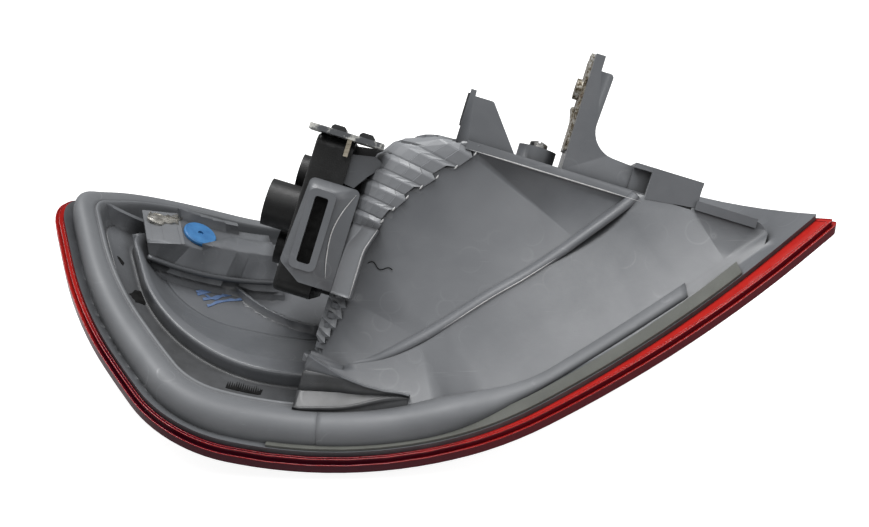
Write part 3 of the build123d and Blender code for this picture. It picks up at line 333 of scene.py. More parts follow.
def rusty_metal():
    """Plated steel clip, worn to bare metal and flecked with brown rust."""
    paint = Paint("nut_rusty")
    flake = paint.noise(420, 5, 0.75)
    tone = paint.ramp(flake, (0.34, (0.04, 0.034, 0.028)), (0.45, (0.16, 0.13, 0.09)),
                      (0.52, (0.36, 0.34, 0.29)), (0.62, (0.55, 0.55, 0.54)))
    rust = paint.ramp(paint.noise(160, 4, 0.7), (0.54, 0.0), (0.68, 1.0))
    paint.color(paint.mix(paint.math("MULTIPLY", rust, 0.7), tone, (0.12, 0.06, 0.028)))
    paint.rough(paint.ramp(flake, (0.35, 0.75), (0.7, 0.25)))
    paint.link(paint.ramp(rust, (0.1, 0.95), (0.8, 0.3)), paint.shader.inputs["Metallic"])
    return paint.bump(paint.noise(700, 4), 0.5, 0.0004).material


def blue_membrane():
    paint = Paint("vent_blue")
    tone = paint.ramp(paint.noise(120, 4, 0.65), (0.3, (0.022, 0.12, 0.3)), (0.75, (0.05, 0.2, 0.44)))
    paint.color(tone)
    paint.rough(paint.ramp(paint.noise(300, 3), (0.3, 0.4), (0.7, 0.58)))
    return paint.bump(paint.noise(900, 3), 0.25).material


def clear_glass():
    paint = Paint("bulb_glass")
    paint.rough(paint.ramp(paint.noise(90, 2), (0.3, 0.02), (0.8, 0.07)))
    return paint.set(Transmission_Weight=1.0, IOR=1.45, Base_Color=(0.95, 0.96, 0.96, 1)).material


def bright_liner():
    paint = Paint("reflector_bright")
    paint.color(paint.ramp(paint.noise(40, 3), (0.3, (0.78, 0.78, 0.79)), (0.7, (0.88, 0.88, 0.89))))
    paint.rough(paint.ramp(paint.noise(80, 3), (0.3, 0.08), (0.8, 0.2)))
    return paint.set(Metallic=1.0).material


def worn_plate():
    """Strip with pale rubbed patches."""
    paint = Paint("plate_grey")
    patch = paint.ramp(paint.noise(120, 4, 0.65), (0.48, 0.0), (0.58, 1.0))
    paint.color(paint.mix(patch, (0.07, 0.074, 0.08), (0.5, 0.5, 0.47)))
    paint.rough(paint.ramp(paint.noise(200, 3), (0.3, 0.3), (0.7, 0.55)))
    return paint.bump(paint.noise(500, 3), 0.2).material


HOUSING = grey_moulding("housing_grey", (0.1, 0.106, 0.115), (0.14, 0.146, 0.156), 0.85)
# Lighter copy of the housing grey, as painted light on the facets, the panel and the comb, which are the same plastic.
LIT_HOUSING = grey_moulding("housing_painted_lit", (0.165, 0.172, 0.183), (0.215, 0.222, 0.234), 0.7)
SOFT = grey_moulding("housing_soft", (0.118, 0.124, 0.132), (0.156, 0.162, 0.171), 0.7, None, (0.5, 0.62))
# Housing grey with painted shade that darkens it towards the front, for the troughs.
SHADED_GRIMY = grey_moulding("housing_shaded_grimy", (0.112, 0.118, 0.127), (0.152, 0.158, 0.168), 0.9, (0.05, -0.03))
# Near black: painted shade in the slot, the torn hole, the dimple and the notch, and the dark burr and hair.
SHADE_AND_DARK_MARKS = plain_tone("shade_and_dark_marks", (0.004, 0.004, 0.004), (0.014, 0.014, 0.014), 0.6, 0.08)
# Light grey for painted highlights along edges and on the facet nubs.
PAINTED_HIGHLIGHT = plain_tone("painted_highlight_grey", (0.36, 0.36, 0.36), (0.6, 0.6, 0.6), 0.25)
INK = plain_tone("marker_ink", (0.07, 0.13, 0.27), (0.14, 0.2, 0.34), 0.4)
# Bright red for painted highlights along the lens's edges.
RED_HIGHLIGHT = plain_tone("red_highlight_painted", (0.2, 0.006, 0.008), (0.36, 0.014, 0.014), 0.15)
FINISHES = {
    "lens_red": red_lens(),
    "housing_grey": HOUSING,
    "strip_olive": olive_strip(),
    "reflex_red": red_lens(),
    "reflector_bright": bright_liner(),
    "vent_blue": blue_membrane(),
    "clip_bright": plain_metal("clip_bright", (0.35, 0.33, 0.29), (0.75, 0.74, 0.7), 0.15),
    "carrier_black": black_moulding("carrier_black", 0.006, 1400),
    "gasket_rubber": black_moulding("gasket_rubber", 0.014, 700),
    "contact_brass": plain_metal("contact_brass", (0.34, 0.3, 0.23), (0.62, 0.57, 0.47), 0.25),
    "plate_grey": worn_plate(),
    "clips_black": black_moulding("clips_black", 0.012, 900),
    "pin_steel": plain_metal("pin_steel", (0.4, 0.4, 0.39), (0.7, 0.69, 0.67), 0.18),
    "nut_rusty": rusty_metal(),
    "pad_dark": black_moulding("pad_dark", 0.03, 1100),
    "cap_metal": plain_metal("cap_metal", (0.5, 0.49, 0.45), (0.72, 0.7, 0.66), 0.2),
    "bulb_glass": clear_glass(),
    "filament_metal": plain_metal("filament_metal", (0.25, 0.25, 0.25), (0.4, 0.4, 0.4), 0.3),
}
for part in frame["record"]["subparts"]:
    target = frame["nodes"][part["node"]]
    target.data.materials.clear()
    target.data.materials.append(FINISHES[part["material_slot"]])


# Added pieces

def piece(name, points, faces, slot, smooth=True, finish=None):
    """Mesh object that rides on the lamp and takes its finish from a slot."""
    mesh = bpy.data.meshes.new(name)
    mesh.from_pydata([tuple(p) for p in points], [], faces)
    mesh.validate()
    for polygon in mesh.polygons:
        polygon.use_smooth = smooth
    mesh.materials.append(finish or FINISHES[slot])
    made = bpy.data.objects.new(name, mesh)
    bpy.context.scene.collection.objects.link(made)
    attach(made, "root")
    return made


def prism(name, top, low, slot, finish=None):
    """Closed plate between two loops of as many points."""
    count = len(top)
    faces = [tuple(range(count)), tuple(range(count, 2 * count))[::-1]]
    faces += [(i, i + count, (i + 1) % count + count, (i + 1) % count) for i in range(count)]
    return piece(name, top + low, faces, slot, False, finish)


def woven(columns):
    """Rows of a sheet from its columns."""
    return [list(line) for line in zip(*columns)]


def shell(name, rows, slot, smooth=True, finish=None):
    """Closed sheet of some thickness over a grid of (top point, bottom point) rows."""
    count, width = len(rows), len(rows[0])
    points = [pair[0] for line in rows for pair in line] + [pair[1] for line in rows for pair in line]
    lower = count * width
    faces = []
    for i in range(count - 1):
        for j in range(width - 1):
            a, b, c, d = i * width + j, i * width + j + 1, (i + 1) * width + j + 1, (i + 1) * width + j
            faces += [(a, b, c, d), (lower + d, lower + c, lower + b, lower + a)]
    for i in range(count - 1):
        for j, flip in ((0, True), (width - 1, False)):
            a, b = i * width + j, (i + 1) * width + j
            side = (a, b, lower + b, lower + a)
            faces.append(side[::-1] if flip else side)
    for j in range(width - 1):
        for i, flip in ((0, False), (count - 1, True)):
            a, b = i * width + j, i * width + j + 1
            side = (a, lower + a, lower + b, b)
            faces.append(side[::-1] if flip else side)
    return piece(name, points, faces, slot, smooth, finish)


def inset(corners, by):
    """Corners of a plan outline moved in by one distance for each side."""
    count = len(corners)
    lines = []
    for i in range(count):
        here = Vector(corners[i][:2])
        along = (Vector(corners[(i + 1) % count][:2]) - here).normalized()
        lines.append((here + Vector((-along.y, along.x)) * by[i], along))
    moved = []
    for i in range(count):
        (start, back), (onto, ahead) = lines[i - 1], lines[i]
        gap = onto - start
        reach = (gap.x * ahead.y - gap.y * ahead.x) / (back.x * ahead.y - back.y * ahead.x)
        radius = max(corners[i][2] - max(by[i - 1], by[i]), 1.0)
        moved.append((*(start + back * reach), radius))
    return moved


def outline(corners, steps=40):
    """Plan points of an outline whose corners are rounded."""
    points = []
    for i, (x, y, radius) in enumerate(corners):
        here = Vector((x, y))
        back = (Vector(corners[i - 1][:2]) - here).normalized()
        ahead = (Vector(corners[(i + 1) % len(corners)][:2]) - here).normalized()
        half = back.angle(ahead) / 2
        middle = here + (back + ahead).normalized() * (radius / math.sin(half))
        first = here + back * (radius / math.tan(half)) - middle
        last = here + ahead * (radius / math.tan(half)) - middle
        start = math.atan2(first.y, first.x)
        sweep = (math.atan2(last.y, last.x) - start + math.pi) % (2 * math.pi) - math.pi
        for step in range(steps + 1):
            turn = start + sweep * step / steps
            points.append(middle + Vector((math.cos(turn), math.sin(turn))) * radius)
    return points


FLANGE = inset(LENS_CORNERS, LEDGES)


def basin_line(line):
    """Outline of one line of the tray's left part."""
    left, near, far, bend = line
    top, middle, low, near_right = FLANGE[:4]
    slope = (near_right[1] - low[1]) / (near_right[0] - low[0])
    fall = (middle[0] - top[0]) / (middle[1] - top[1])
    low_y = (low[1] + slope * (top[0] - fall * top[1] - low[0])) / (1 - slope * fall)
    corners = [(top[0], top[1], 0), (top[0] + fall * (low_y - top[1]), low_y, 0),
               (BASIN_RIGHT, low[1] + slope * (BASIN_RIGHT - low[0]), 0),
               (BASIN_RIGHT, FLANGE[-1][1], 0), (FLANGE[-1][0], FLANGE[-1][1], 0)]
    moved = inset(corners, [left, near, far, far, far])
    moved = [(x, y, 6.0) for x, y, _ in moved]
    moved[1] = (moved[1][0], moved[1][1], bend)
    moved[4] = (moved[4][0], moved[4][1], 14.0)
    moved[0] = (moved[0][0], moved[0][1], 14.0)
    return outline(moved)


def crossing(start, heading, loop):
    """Distance along a heading to the far side of a closed loop of plan points."""
    best = 0.0
    side = Vector((-heading.y, heading.x))
    for i in range(len(loop)):
        a, b = loop[i] - start, loop[(i + 1) % len(loop)] - start
        da, db = a.dot(side), b.dot(side)
        if (da <= 0 < db) or (db <= 0 < da):
            best = max(best, a.lerp(b, da / (da - db)).dot(heading))
    return best


def stations(near_from, far_to):
    """Places round the tray: across its near run, round its left end and along its far run."""
    down, up = Vector((0, -1)), Vector((0, 1))
    spots = []
    count = 12
    for i in range(count):
        spots.append((Vector((near_from + (TRAY_EYE.x - near_from) * i / count, TRAY_EYE.y)), down))
    for i in range(121):
        turn = math.radians(-90 - 1.5 * i)
        spots.append((TRAY_EYE, Vector((math.cos(turn), math.sin(turn)))))
    for i in range(1, 22):
        spots.append((Vector((TRAY_EYE.x + (far_to - TRAY_EYE.x) * i / 21, TRAY_EYE.y)), up))
    return spots


def shoulder_profile(steps):
    """Share of the way in and of the height along the rounded shoulder."""
    pairs = []
    for step in range(steps + 1):
        share = 1 - math.cos(math.pi / 2 * step / steps) ** 1.3
        pairs.append((share, (1 - (1 - share) ** 2.2) ** (1 / 2.2)))
    return pairs


def tray_skin():
    """Smooth skin of the tray: shoulder, first ridge with its groove, trough, second ridge and flank."""
    foot, top = (outline(inset(FLANGE, [by] * 8)) for by in (SHOULDER_FOOT, SHOULDER_TOP))
    first = outline(inset(FLANGE, RIDGE_1))
    lines = [basin_line(line) for line in (RIDGE_2, CREST)]
    low = basin_line(tuple(c + (b - c) * 0.75 for c, b in zip(CREST, BASIN)))
    floor = basin_line(BASIN)
    band = [(3.5, 22.75), (3.1, 22.3), (2.8, 22.35), (2.4, 23.0), (1.8, 23.55), (1.0, 23.7), (0.3, 23.4),
            (-0.2, 22.6), (-0.5, 21.3), (-0.75, 18.0), (-1.1, 15.6), (-1.9, 14.6), (-3.2, 14.25), (-5.0, 14.2)]
    rise = [(4.0, 14.2), (2.2, 14.5), (1.3, 15.2), (0.85, 16.5), (0.55, 19.6), (0.2, 21.2), (-0.5, 22.15),
            (-1.4, 22.5)]
    columns = []
    for start, heading in stations(-6.0, 60.0):
        at_foot, at_top, at_first, at_second, at_crest, at_low, at_floor = [
            crossing(start, heading, loop) for loop in (foot, top, first, *lines, low, floor)]
        spots = [(at_foot + (at_top - at_foot) * x, FLANGE_TOP + SHOULDER_RISE * y) for x, y in shoulder_profile(14)]
        tight = min(1.0, (at_top - at_first) / 4.4)
        spots += [(at_first + shift * (tight if shift > 0 else 1), height) for shift, height in band]
        spots += [(at_second + shift, height) for shift, height in rise]
        spots += [(at_crest + 0.7, 22.6), (at_crest, 22.45), (at_crest - 0.9, 22.1)]
        spots += [(at_crest + (at_low - at_crest) * x, 22.4 - 6.1 * x) for x in (0.25, 0.5, 0.75, 1.0)]
        spots += [(at_low + (at_floor - at_low) * x, 16.3 - 2.05 * x) for x in (0.5, 0.85)]
        spots += [(at_floor - 0.6, 14.25), (at_floor - 3.0, TRAY_FLOOR - 0.05)]
        line = []
        for reach, height in spots:
            spot = start + heading * reach
            line.append((on_face(spot.x, spot.y, height), on_face(spot.x, spot.y, height - 1.5)))
        columns.append(line)
    rows, cut, end = woven(columns), 26, 31
    # Painted shade: the trough takes the housing grey that darkens towards the front.
    shell("tray_trough", rows[cut:end + 1], "housing_grey", True, SHADED_GRIMY)
    shell("tray_shoulder", rows[:cut + 1], "housing_grey", True, SOFT)
    return shell("tray_ridge", rows[end:], "housing_grey")


def wall_y(x, w, height):
    """How far back a plane in front of or behind the chamber's wall meets a layer above the lens."""
    y = 10.0
    for _ in range(12):
        z = face_z(x, y, height)
        y = (AXIS_W.z * (z - CHAMBER_FOOT.z) - w) / -AXIS_W.y
    return y


def ease(value, low, high):
    share = min(max((value - low) / (high - low), 0.0), 1.0)
    return share * share * (3 - 2 * share)


def foot_skin():
    """Shoulder that runs on in front of the chamber's wall and sinks into the bead along its foot."""
    near = FLANGE[2][1]
    columns = []
    for i in range(63):
        x = -7.0 + 3.0 * i
        share = ease(x, 50, 112)
        high = 22.9 + (13.2 - 22.9) * share
        front = near + 4.4 + (wall_y(x, -3.4, 8.9) - near - 4.4) * ease(x, 46, 100)
        back = wall_y(x, WALL_W - 0.6, high)
        round_to = near + SHOULDER_TOP + (back - near - SHOULDER_TOP) * ease(x, 52, 85)
        spots = [(front + (round_to - front) * along, FLANGE_TOP + (high - FLANGE_TOP) * up)
                 for along, up in shoulder_profile(16)]
        spots.append((max(back, round_to + 0.3), high + 0.02))
        line = [(on_face(x, y, height), on_face(x, y + 0.9, height - 1.1)) for y, height in spots]
        columns.append(line)
    return shell("foot_skin", woven(columns), "housing_grey", True, SOFT)


def on_line(points, u):
    """Second value of a line of (u, v) points at one u."""
    if u <= points[0][0]:
        return points[0][1]
    for (u0, v0), (u1, v1) in zip(points, points[1:]):
        if u <= u1:
            return v0 + (v1 - v0) * (u - u0) / (u1 - u0)
    return points[-1][1]


FOOT_EDGE = [(-29.9, 50.7), (-22.9, 48.1), (-7.1, 43.9), (4.2, 43.0), (14.2, 43.4), (22.6, 44.8), (28.0, 45.0)]
FLANK_EDGE = [(-28.5, 39.2), (-18.6, 41.5), (-7.1, 43.4)]
BAND_TOP = [(-25.1, 28.1), (-10.6, 32.6), (3.8, 37.5), (15.8, 41.4), (23.0, 43.6), (28.0, 44.4)]
BAND_LOW = [(-23.9, 24.3), (-9.3, 28.4), (5.0, 33.6), (16.7, 38.5), (26.0, 42.7), (28.0, 43.6)]


def tray_foot():
    """Tray's flank, trough and first ridge where they run on under the chamber's near left corner."""
    columns = []
    for i in range(40):
        u = -27.6 + 55.0 * i / 39
        edge, top, low = on_line(FOOT_EDGE, u), on_line(BAND_TOP, u), on_line(BAND_LOW, u)
        sink = 2.4 * (1 - ease(u, -5, 20))
        top, low = top - 1.8 * sink, low - sink
        flank = min(on_line(FLANK_EDGE, u), edge - 0.35) if u < -7 else edge - 0.35
        fade = 1 - 0.75 * ease(u, 8, 27)
        spots = [(low - 7.0, 0.2), (low - 3.5, 0.7), (low - 1.0, 0.7), (low, 0.5)]
        spots += [(low + (top - low) * x, 0.5 + 1.1 * fade * y) for x, y in
                  ((0.12, 0.5), (0.3, 0.85), (0.5, 1.0), (0.75, 0.85), (0.92, 0.4))]
        spots += [(top, 0.35), (top + (flank - top) * 0.5, 0.25), (top + (flank - top) * 0.9, 0.3), (flank, 0.55)]
        spots += [(flank + (edge - flank) * x, 0.6 + 1.1 * x * (1 if u < -7 else 0)) for x in (0.3, 0.65)]
        spots += [(edge - 0.15, 1.5), (edge + 0.3, 1.75), (edge + 0.75, 1.4), (edge + 1.0, 0.1)]
        line = [(chamber(u, v, WALL_W + lift), chamber(u, v, WALL_W - 0.6)) for v, lift in spots]
        columns.append(line)
    rows = woven(columns)
    # Painted shade: the band and the trough take the housing grey that darkens towards the front.
    shell("foot_band", rows[:11], "housing_grey", True, SHADED_GRIMY)
    shell("foot_trough", rows[10:14], "housing_grey", True, SHADED_GRIMY)
    return shell("foot_edge", rows[13:], "housing_grey")


def tube(name, path, radius, slot, finish=None, sides=8, taper=False):
    """Round bead along a path of points, closed at both ends."""
    points, faces = [], []
    count = len(path)
    for i, here in enumerate(path):
        along = (path[min(i + 1, count - 1)] - path[max(i - 1, 0)]).normalized()
        side = along.cross(Vector((0.3, -0.5, 0.8))).normalized()
        other = along.cross(side)
        size = radius * (min(1.0, 4 * min(i, count - 1 - i) / count + 0.15) if taper else 1.0)
        for k in range(sides):
            turn = 2 * math.pi * k / sides
            points.append(here + (side * math.cos(turn) + other * math.sin(turn)) * size)
    for i in range(count - 1):
        for k in range(sides):
            a, b = i * sides + k, i * sides + (k + 1) % sides
            faces.append((a, b, b + sides, a + sides))
    faces.append(tuple(range(sides))[::-1])
    faces.append(tuple(range((count - 1) * sides, count * sides)))
    return piece(name, points, faces, slot, True, finish)


def patch(name, edge, lift, depth, slot, finish=None):
    """Flat closed plate on the tray, from a plan outline and its height above the lens."""
    top, low = ([on_face(x, y, height) for x, y in edge] for height in (lift, lift - depth))
    return prism(name, top, low, slot, finish)


def ragged(edge, steps, rough):
    """Closed plan outline with torn sides."""
    points = []
    for i, start in enumerate(edge):
        stop = edge[(i + 1) % len(edge)]
        for k in range(steps):
            share = k / steps
            points.append((start[0] + (stop[0] - start[0]) * share + random.uniform(-rough, rough),
                           start[1] + (stop[1] - start[1]) * share + random.uniform(-rough, rough)))
    return points


DOME_FROM, DOME_R, CORNER_DEPTH, SCALES = 145.0, 32.0, 26.0, 7
FACET_ENDS = [(118.5, -13.5), (126.2, -10.9), (133.9, -7.1), (141.6, -2.2), (148.6, 3.1), (155.9, 9.4),
              (163.6, 17.1), (172.8, 24.4), (177.5, 28.0)]


def facet_skin():
    """Scales on the chamber's corner: flat plates in rows, each row proud at its upper edge."""
    rows = []
    count = len(FACET_ENDS) - 1
    for row_at in range(count):
        for share, lift in ((0.0, 0.0), (0.1, 0.3), (0.68, 1.05), (0.76, 1.0)):
            (v0, u0), (v1, u1) = FACET_ENDS[row_at], FACET_ENDS[row_at + 1]
            base, right = v0 + (v1 - v0) * share, u0 + (u1 - u0) * share
            line = []
            for scale in range(SCALES):
                for inner, step in ((0.0, 0.0), (0.94, 0.5)):
                    bend = math.radians(90 * (scale + inner + (0.5 if row_at % 2 else 0.0)) / 7.43)
                    rise = min(base + 0.16 * (right - CHAMBER_LEFT) * math.sin(bend), CHAMBER_TOP)
                    above = max(rise - DOME_FROM, 0.0)
                    edge = CHAMBER_LEFT + DOME_R - math.sqrt(max(DOME_R ** 2 - min(above, DOME_R) ** 2, 0.0))
                    out = 0.7 + lift + step
                    u = edge - out * math.sin(bend) + max(right - edge, 2.0) * (1 - math.sin(bend))
                    w = WALL_W - RECESS - CORNER_DEPTH * (1 - math.cos(bend)) + out * math.cos(bend)
                    deep = u + 1.6 * math.sin(bend), w - 1.6 * math.cos(bend)
                    line.append((chamber(u, rise, w), chamber(deep[0], rise - 0.2, deep[1])))
            rows.append(line)
    # Painted light: the scales take the lighter copy of the housing grey.
    return shell("facet_skin", rows[::-1], "housing_grey", False, LIT_HOUSING)


def facet_nubs():
    """Small ends of the facet rows where they meet the wall, in light grey as painted highlights."""
    for i, (v, u) in enumerate(FACET_ENDS[1:8]):
        path = [chamber(u - 1.5 + 1.9 * t - 0.9 * t * t, v - 1.7 + 2.6 * t, -12.2) for t in (0, 0.3, 0.6, 1.0)]
        tube(f"facet_nub_{i}", path, 0.00045, "housing_grey", PAINTED_HIGHLIGHT, 8, True)


def marks():
    """Torn holes, burr, dimple, blue strokes and a hair on the tray and the wall; the hole, the dimple and the notch
    are black plates of painted shade.
    """
    hole = [(-115.0, 100.0), (-112.5, 106.5), (-109.0, 108.5), (-106.0, 104.5), (-106.5, 97.5), (-111.0, 95.5)]
    # Painted shade: black plates stand for the shade inside the torn hole, the dimple and the notch.
    patch("torn_hole", ragged(hole, 4, 0.5), TRAY_FLOOR + 0.25, 0.4, "pad_dark", SHADE_AND_DARK_MARKS)
    dimple = [(-126.2, 127.4), (-124.2, 126.8), (-122.2, 124.8), (-122.2, 121.6), (-124.0, 123.2), (-125.2, 125.4)]
    patch("dimple", ragged(dimple, 3, 0.2), TRAY_FLOOR + 0.25, 0.4, "pad_dark", SHADE_AND_DARK_MARKS)
    notch = [(-118.0, 156.0), (-114.6, 157.6), (-113.6, 149.0), (-116.2, 148.6)]
    patch("notch", ragged(notch, 3, 0.2), TRAY_FLOOR + 0.25, 0.4, "pad_dark", SHADE_AND_DARK_MARKS)
    teeth = []
    for i in range(17):
        x, y = -57.0 + 18.0 * i / 16, 50.5 + 1.8 * math.sin(i * 0.2)
        teeth += [(x, y - 4.2 + random.uniform(-1.2, 0.8)), (x + 0.55, y + 2.6 + random.uniform(-1.6, 0.8))]
    low = [(x, 45.6 + 0.4 * math.sin(x)) for x in (-40.0, -46.0, -52.0, -57.0)]
    patch("burr", teeth + low, 14.5, 0.4, "pad_dark", SHADE_AND_DARK_MARKS)
    strokes = [((-83.0, 128.5), (-71.8, 144.0), (-59.0, 150.0)), ((-80.0, 125.0), (-68.5, 139.5), (-58.8, 144.0)),
               ((-77.0, 121.5), (-68.0, 132.5), (-58.6, 139.0)), ((-84.0, 131.0), (-75.0, 137.0), (-64.0, 150.0)),
               ((-79.0, 130.5), (-74.0, 128.0), (-66.0, 140.5))]
    for i, ends in enumerate(strokes):
        path = []
        for k in range(25):
            t = k / 24
            x = (1 - t) ** 2 * ends[0][0] + 2 * t * (1 - t) * ends[1][0] + t * t * ends[2][0]
            y = (1 - t) ** 2 * ends[0][1] + 2 * t * (1 - t) * ends[1][1] + t * t * ends[2][1]
            path.append((x + 0.5 * math.sin(9 * t + i), y + 0.8 * math.sin(7 * t + 2 * i)))
        sides = [(x - 0.9, y + 1.7 + 0.5 * math.sin(0.8 * k + i)) for k, (x, y) in enumerate(path)]
        patch(f"marker_{i}", sides + path[::-1], 14.28 + 0.02 * i, 0.2, "vent_blue", INK)
    hair = []
    for k in range(40):
        t = k / 39
        hair.append(chamber(-12.5 + 13 * t, 103.2 + 1.6 * math.sin(9 * t) * (1 - 0.4 * t), WALL_W - RECESS + 0.25))
    tube("hair", hair, 0.00022, "pad_dark", SHADE_AND_DARK_MARKS, 6)


def rim_lines():
    """Painted highlights: thin bright red lines along the edges of the lens's lip and rim."""
    for name, edge, lift, radius in (("lip_line", 0.35, 4.0, 0.0003), ("rim_line", 2.4, 6.5, 0.00028),
                                     ("seat_line", 4.2, 6.55, 0.0002)):
        loop = outline(inset(LENS_CORNERS, [edge] * 8), 30)
        path = []
        for i, here in enumerate(loop):
            there = loop[(i + 1) % len(loop)]
            path += [here.lerp(there, k / 6) for k in range(6)] if (there - here).length > 8 else [here]
        tube(name, [on_face(p.x, p.y, lift) for p in path + path[:1]], radius, "lens_red", RED_HIGHLIGHT, 6)


def curve_through(points, steps):
    """Smooth line through (u, v) points."""
    ends = [points[0], *points, points[-1]]
    line = []
    for i in range(1, len(ends) - 2):
        p0, p1, p2, p3 = (Vector(p) for p in ends[i - 1:i + 3])
        for k in range(steps):
            t = k / steps
            line.append(0.5 * (2 * p1 + (p2 - p0) * t + (2 * p0 - 5 * p1 + 4 * p2 - p3) * t * t
                               + (3 * p1 - p0 - 3 * p2 + p3) * t ** 3))
    return line + [Vector(points[-1])]


PANEL_EDGE = [(83.5, -15.8), (98.0, -15.8), (108.0, -15.7), (114.0, -14.2), (121.0, -12.0)]
COMB_TIPS = [(-16.2, 83.7), (-16.4, 78.2), (-16.7, 72.3), (-18.5, 66.9), (-19.9, 61.7), (-21.4, 58.0)]


def panel_skin():
    """Panel between the latch loop and the wall, with a sharp edge along the wall and a curved inner line; the panel
    carries painted light in a lighter grey, and light grey tubes along its edge and border are painted highlights.
    """
    columns = []
    for i in range(26):
        v = 83.5 + 37.5 * i / 25
        edge = on_line(PANEL_EDGE, v)
        left = -30.0 + 4.5 * ease(v, 108, 121)
        inner = left + (edge - left) * (0.3 + 0.1 * ease(v, 95, 120))
        spots = [(left, -6.2), (left + 0.8, -5.5), (inner - 0.9, -5.6), (inner - 0.3, -5.0), (inner + 0.3, -5.0),
                 (inner + 0.9, -5.8), (edge - 2.2, -5.8), (edge - 0.8, -5.4), (edge, -6.0), (edge + 0.7, -14.2)]
        line = [(chamber(u, v, w), chamber(u - 0.4, v, w - 1.5)) for u, w in spots]
        columns.append(line)
    shell("panel_skin", woven(columns), "housing_grey", True, LIT_HOUSING)
    path = [chamber(p.y - 0.3, p.x, -5.5) for p in curve_through(PANEL_EDGE, 8)]
    tube("panel_edge", path, 0.00035, "housing_grey", PAINTED_HIGHLIGHT, 8, True)
    border = curve_through([(-27.5, 134.5), (-32.0, 123.0), (-33.9, 112.0), (-32.6, 99.3), (-30.3, 89.6)], 8)
    tube("panel_border", [chamber(p.x, p.y, LATCH_W + 0.05) for p in border], 0.0003, "housing_grey", PAINTED_HIGHLIGHT, 8, True)


def comb_skin():
    """Bellows-like teeth below the panel: each slopes up to a crest that ends in a tip on the wall."""
    rows = []
    for u, tip in COMB_TIPS:
        for v, step, back in ((tip, 1.5, 0.0), (tip - 0.9, 0.0, 2.4)):
            row = []
            for k in range(10):
                t = k / 9
                u_here = -27.2 + (u - back + 27.2) * t
                reach = (u - u_here) / 11
                here = (u_here, v + 3.2 * (1 - t), -13.0 + step - 11 * max(reach, 0) ** 1.8)
                row.append((chamber(*here), chamber(here[0], here[1], here[2] - 1.2)))
            rows.append(row)
    # Painted light: the teeth take the lighter copy of the housing grey.
    shell("comb_skin", rows, "housing_grey", False, LIT_HOUSING)


def slab(name, corners, w, depth, slot, finish=None):
    """Flat plate parallel to the chamber's wall."""
    top, low = ([chamber(u, v, w - back) for u, v in corners] for back in (0.0, depth))
    return prism(name, top, low, slot, finish)


def carrier_filling():
    """Grey flap and black bars between the carrier and the faceted dome."""
    flap = [(-38.0, 139.0), (-31.3, 138.1), (-26.0, 146.0), (-18.9, 153.5), (-24.9, 156.9), (-38.0, 154.4)]
    slab("dome_flap", flap, -24.0, 1.2, "housing_grey")
    slab("dome_bars", [(-41.2, 152.5), (-19.5, 153.5), (-15.5, 163.5), (-42.2, 159.5)], -38.0, 6.0, "carrier_black")


LEDGE_LINE = [(-5.8, 49.9), (8.3, 57.4), (29.6, 77.6), (52.6, 104.1), (67.4, 119.8), (80.7, 135.8), (89.7, 147.6),
              (98.7, 159.5), (106.6, 170.3), (109.6, 175.5)]

LEDGE_SECTION = [(-0.6, -0.3), (0.0, 0.12), (0.7, 0.35), (1.6, 0.2), (2.7, -0.5), (3.8, -1.7), (4.6, -3.4), (5.0, -5.4)]


def ledge_skin():
    """Rounded step between the wall and its recessed field."""
    line = curve_through(LEDGE_LINE, 8)
    columns = []
    for i, here in enumerate(line):
        along = (line[min(i + 1, len(line) - 1)] - line[max(i - 1, 0)]).normalized()
        side = Vector((-along.y, along.x))
        row = []
        for n, lift in LEDGE_SECTION:
            spot = here + side * n
            lift -= RECESS * (1 - ease(i, 0, 16))
            row.append((chamber(spot.x, spot.y, WALL_W + lift), chamber(spot.x, spot.y, WALL_W + lift - 0.9)))
        columns.append(row)
    shell("ledge_skin", woven(columns), "housing_grey")
    # Painted highlight: a light grey tube along the ledge's lower front edge.
    rubbed = [chamber(p.x - 0.4, p.y + 0.4, WALL_W + 0.15) for p in line[15:42]]
    tube("ledge_edge", rubbed, 0.00032, "housing_grey", PAINTED_HIGHLIGHT, 8, True)


def wall_lines():
    """Lip along the wall's top with a painted highlight on its edge, the hood's closed front and a black plate of
    painted shade inside the slot.
    """
    ledge_skin()
    front = [(112.2, 175.4), (138.6, 178.6), (138.8, 191.6), (112.4, 191.6)]
    slab("hood_front", front, WALL_W + 0.1, 1.4, "housing_grey")
    side = [(103.0, 177.5), (112.4, 176.0), (112.4, 189.6), (103.0, 189.6)]
    slab("hood_side", side, WALL_W - RECESS, 1.5, "housing_grey")
    # Painted highlight: a light grey tube along the lip's edge.
    tube("top_edge", [chamber(20 + 91 * k / 40, 173.4, WALL_W + 1.55) for k in range(41)], 0.00035,
         "housing_grey", PAINTED_HIGHLIGHT, 8, True)
    # Painted shade: a black plate inside the slot, over the carrier's nose.
    slab("slot_dark", [(-46.9, 94.2), (-40.1, 94.2), (-40.1, 128.2), (-46.9, 128.2)], -6.6, 0.3, "pad_dark", SHADE_AND_DARK_MARKS)


def arm_point(along, across, height):
    """Point along and across the arm, at a height above the lens."""
    turn = math.radians(ARM_TURN)
    x = ARM_CORNER[0] + along * math.cos(turn) - across * math.sin(turn)
    y = ARM_CORNER[1] + along * math.sin(turn) + across * math.cos(turn)
    return on_face(x, y, height)


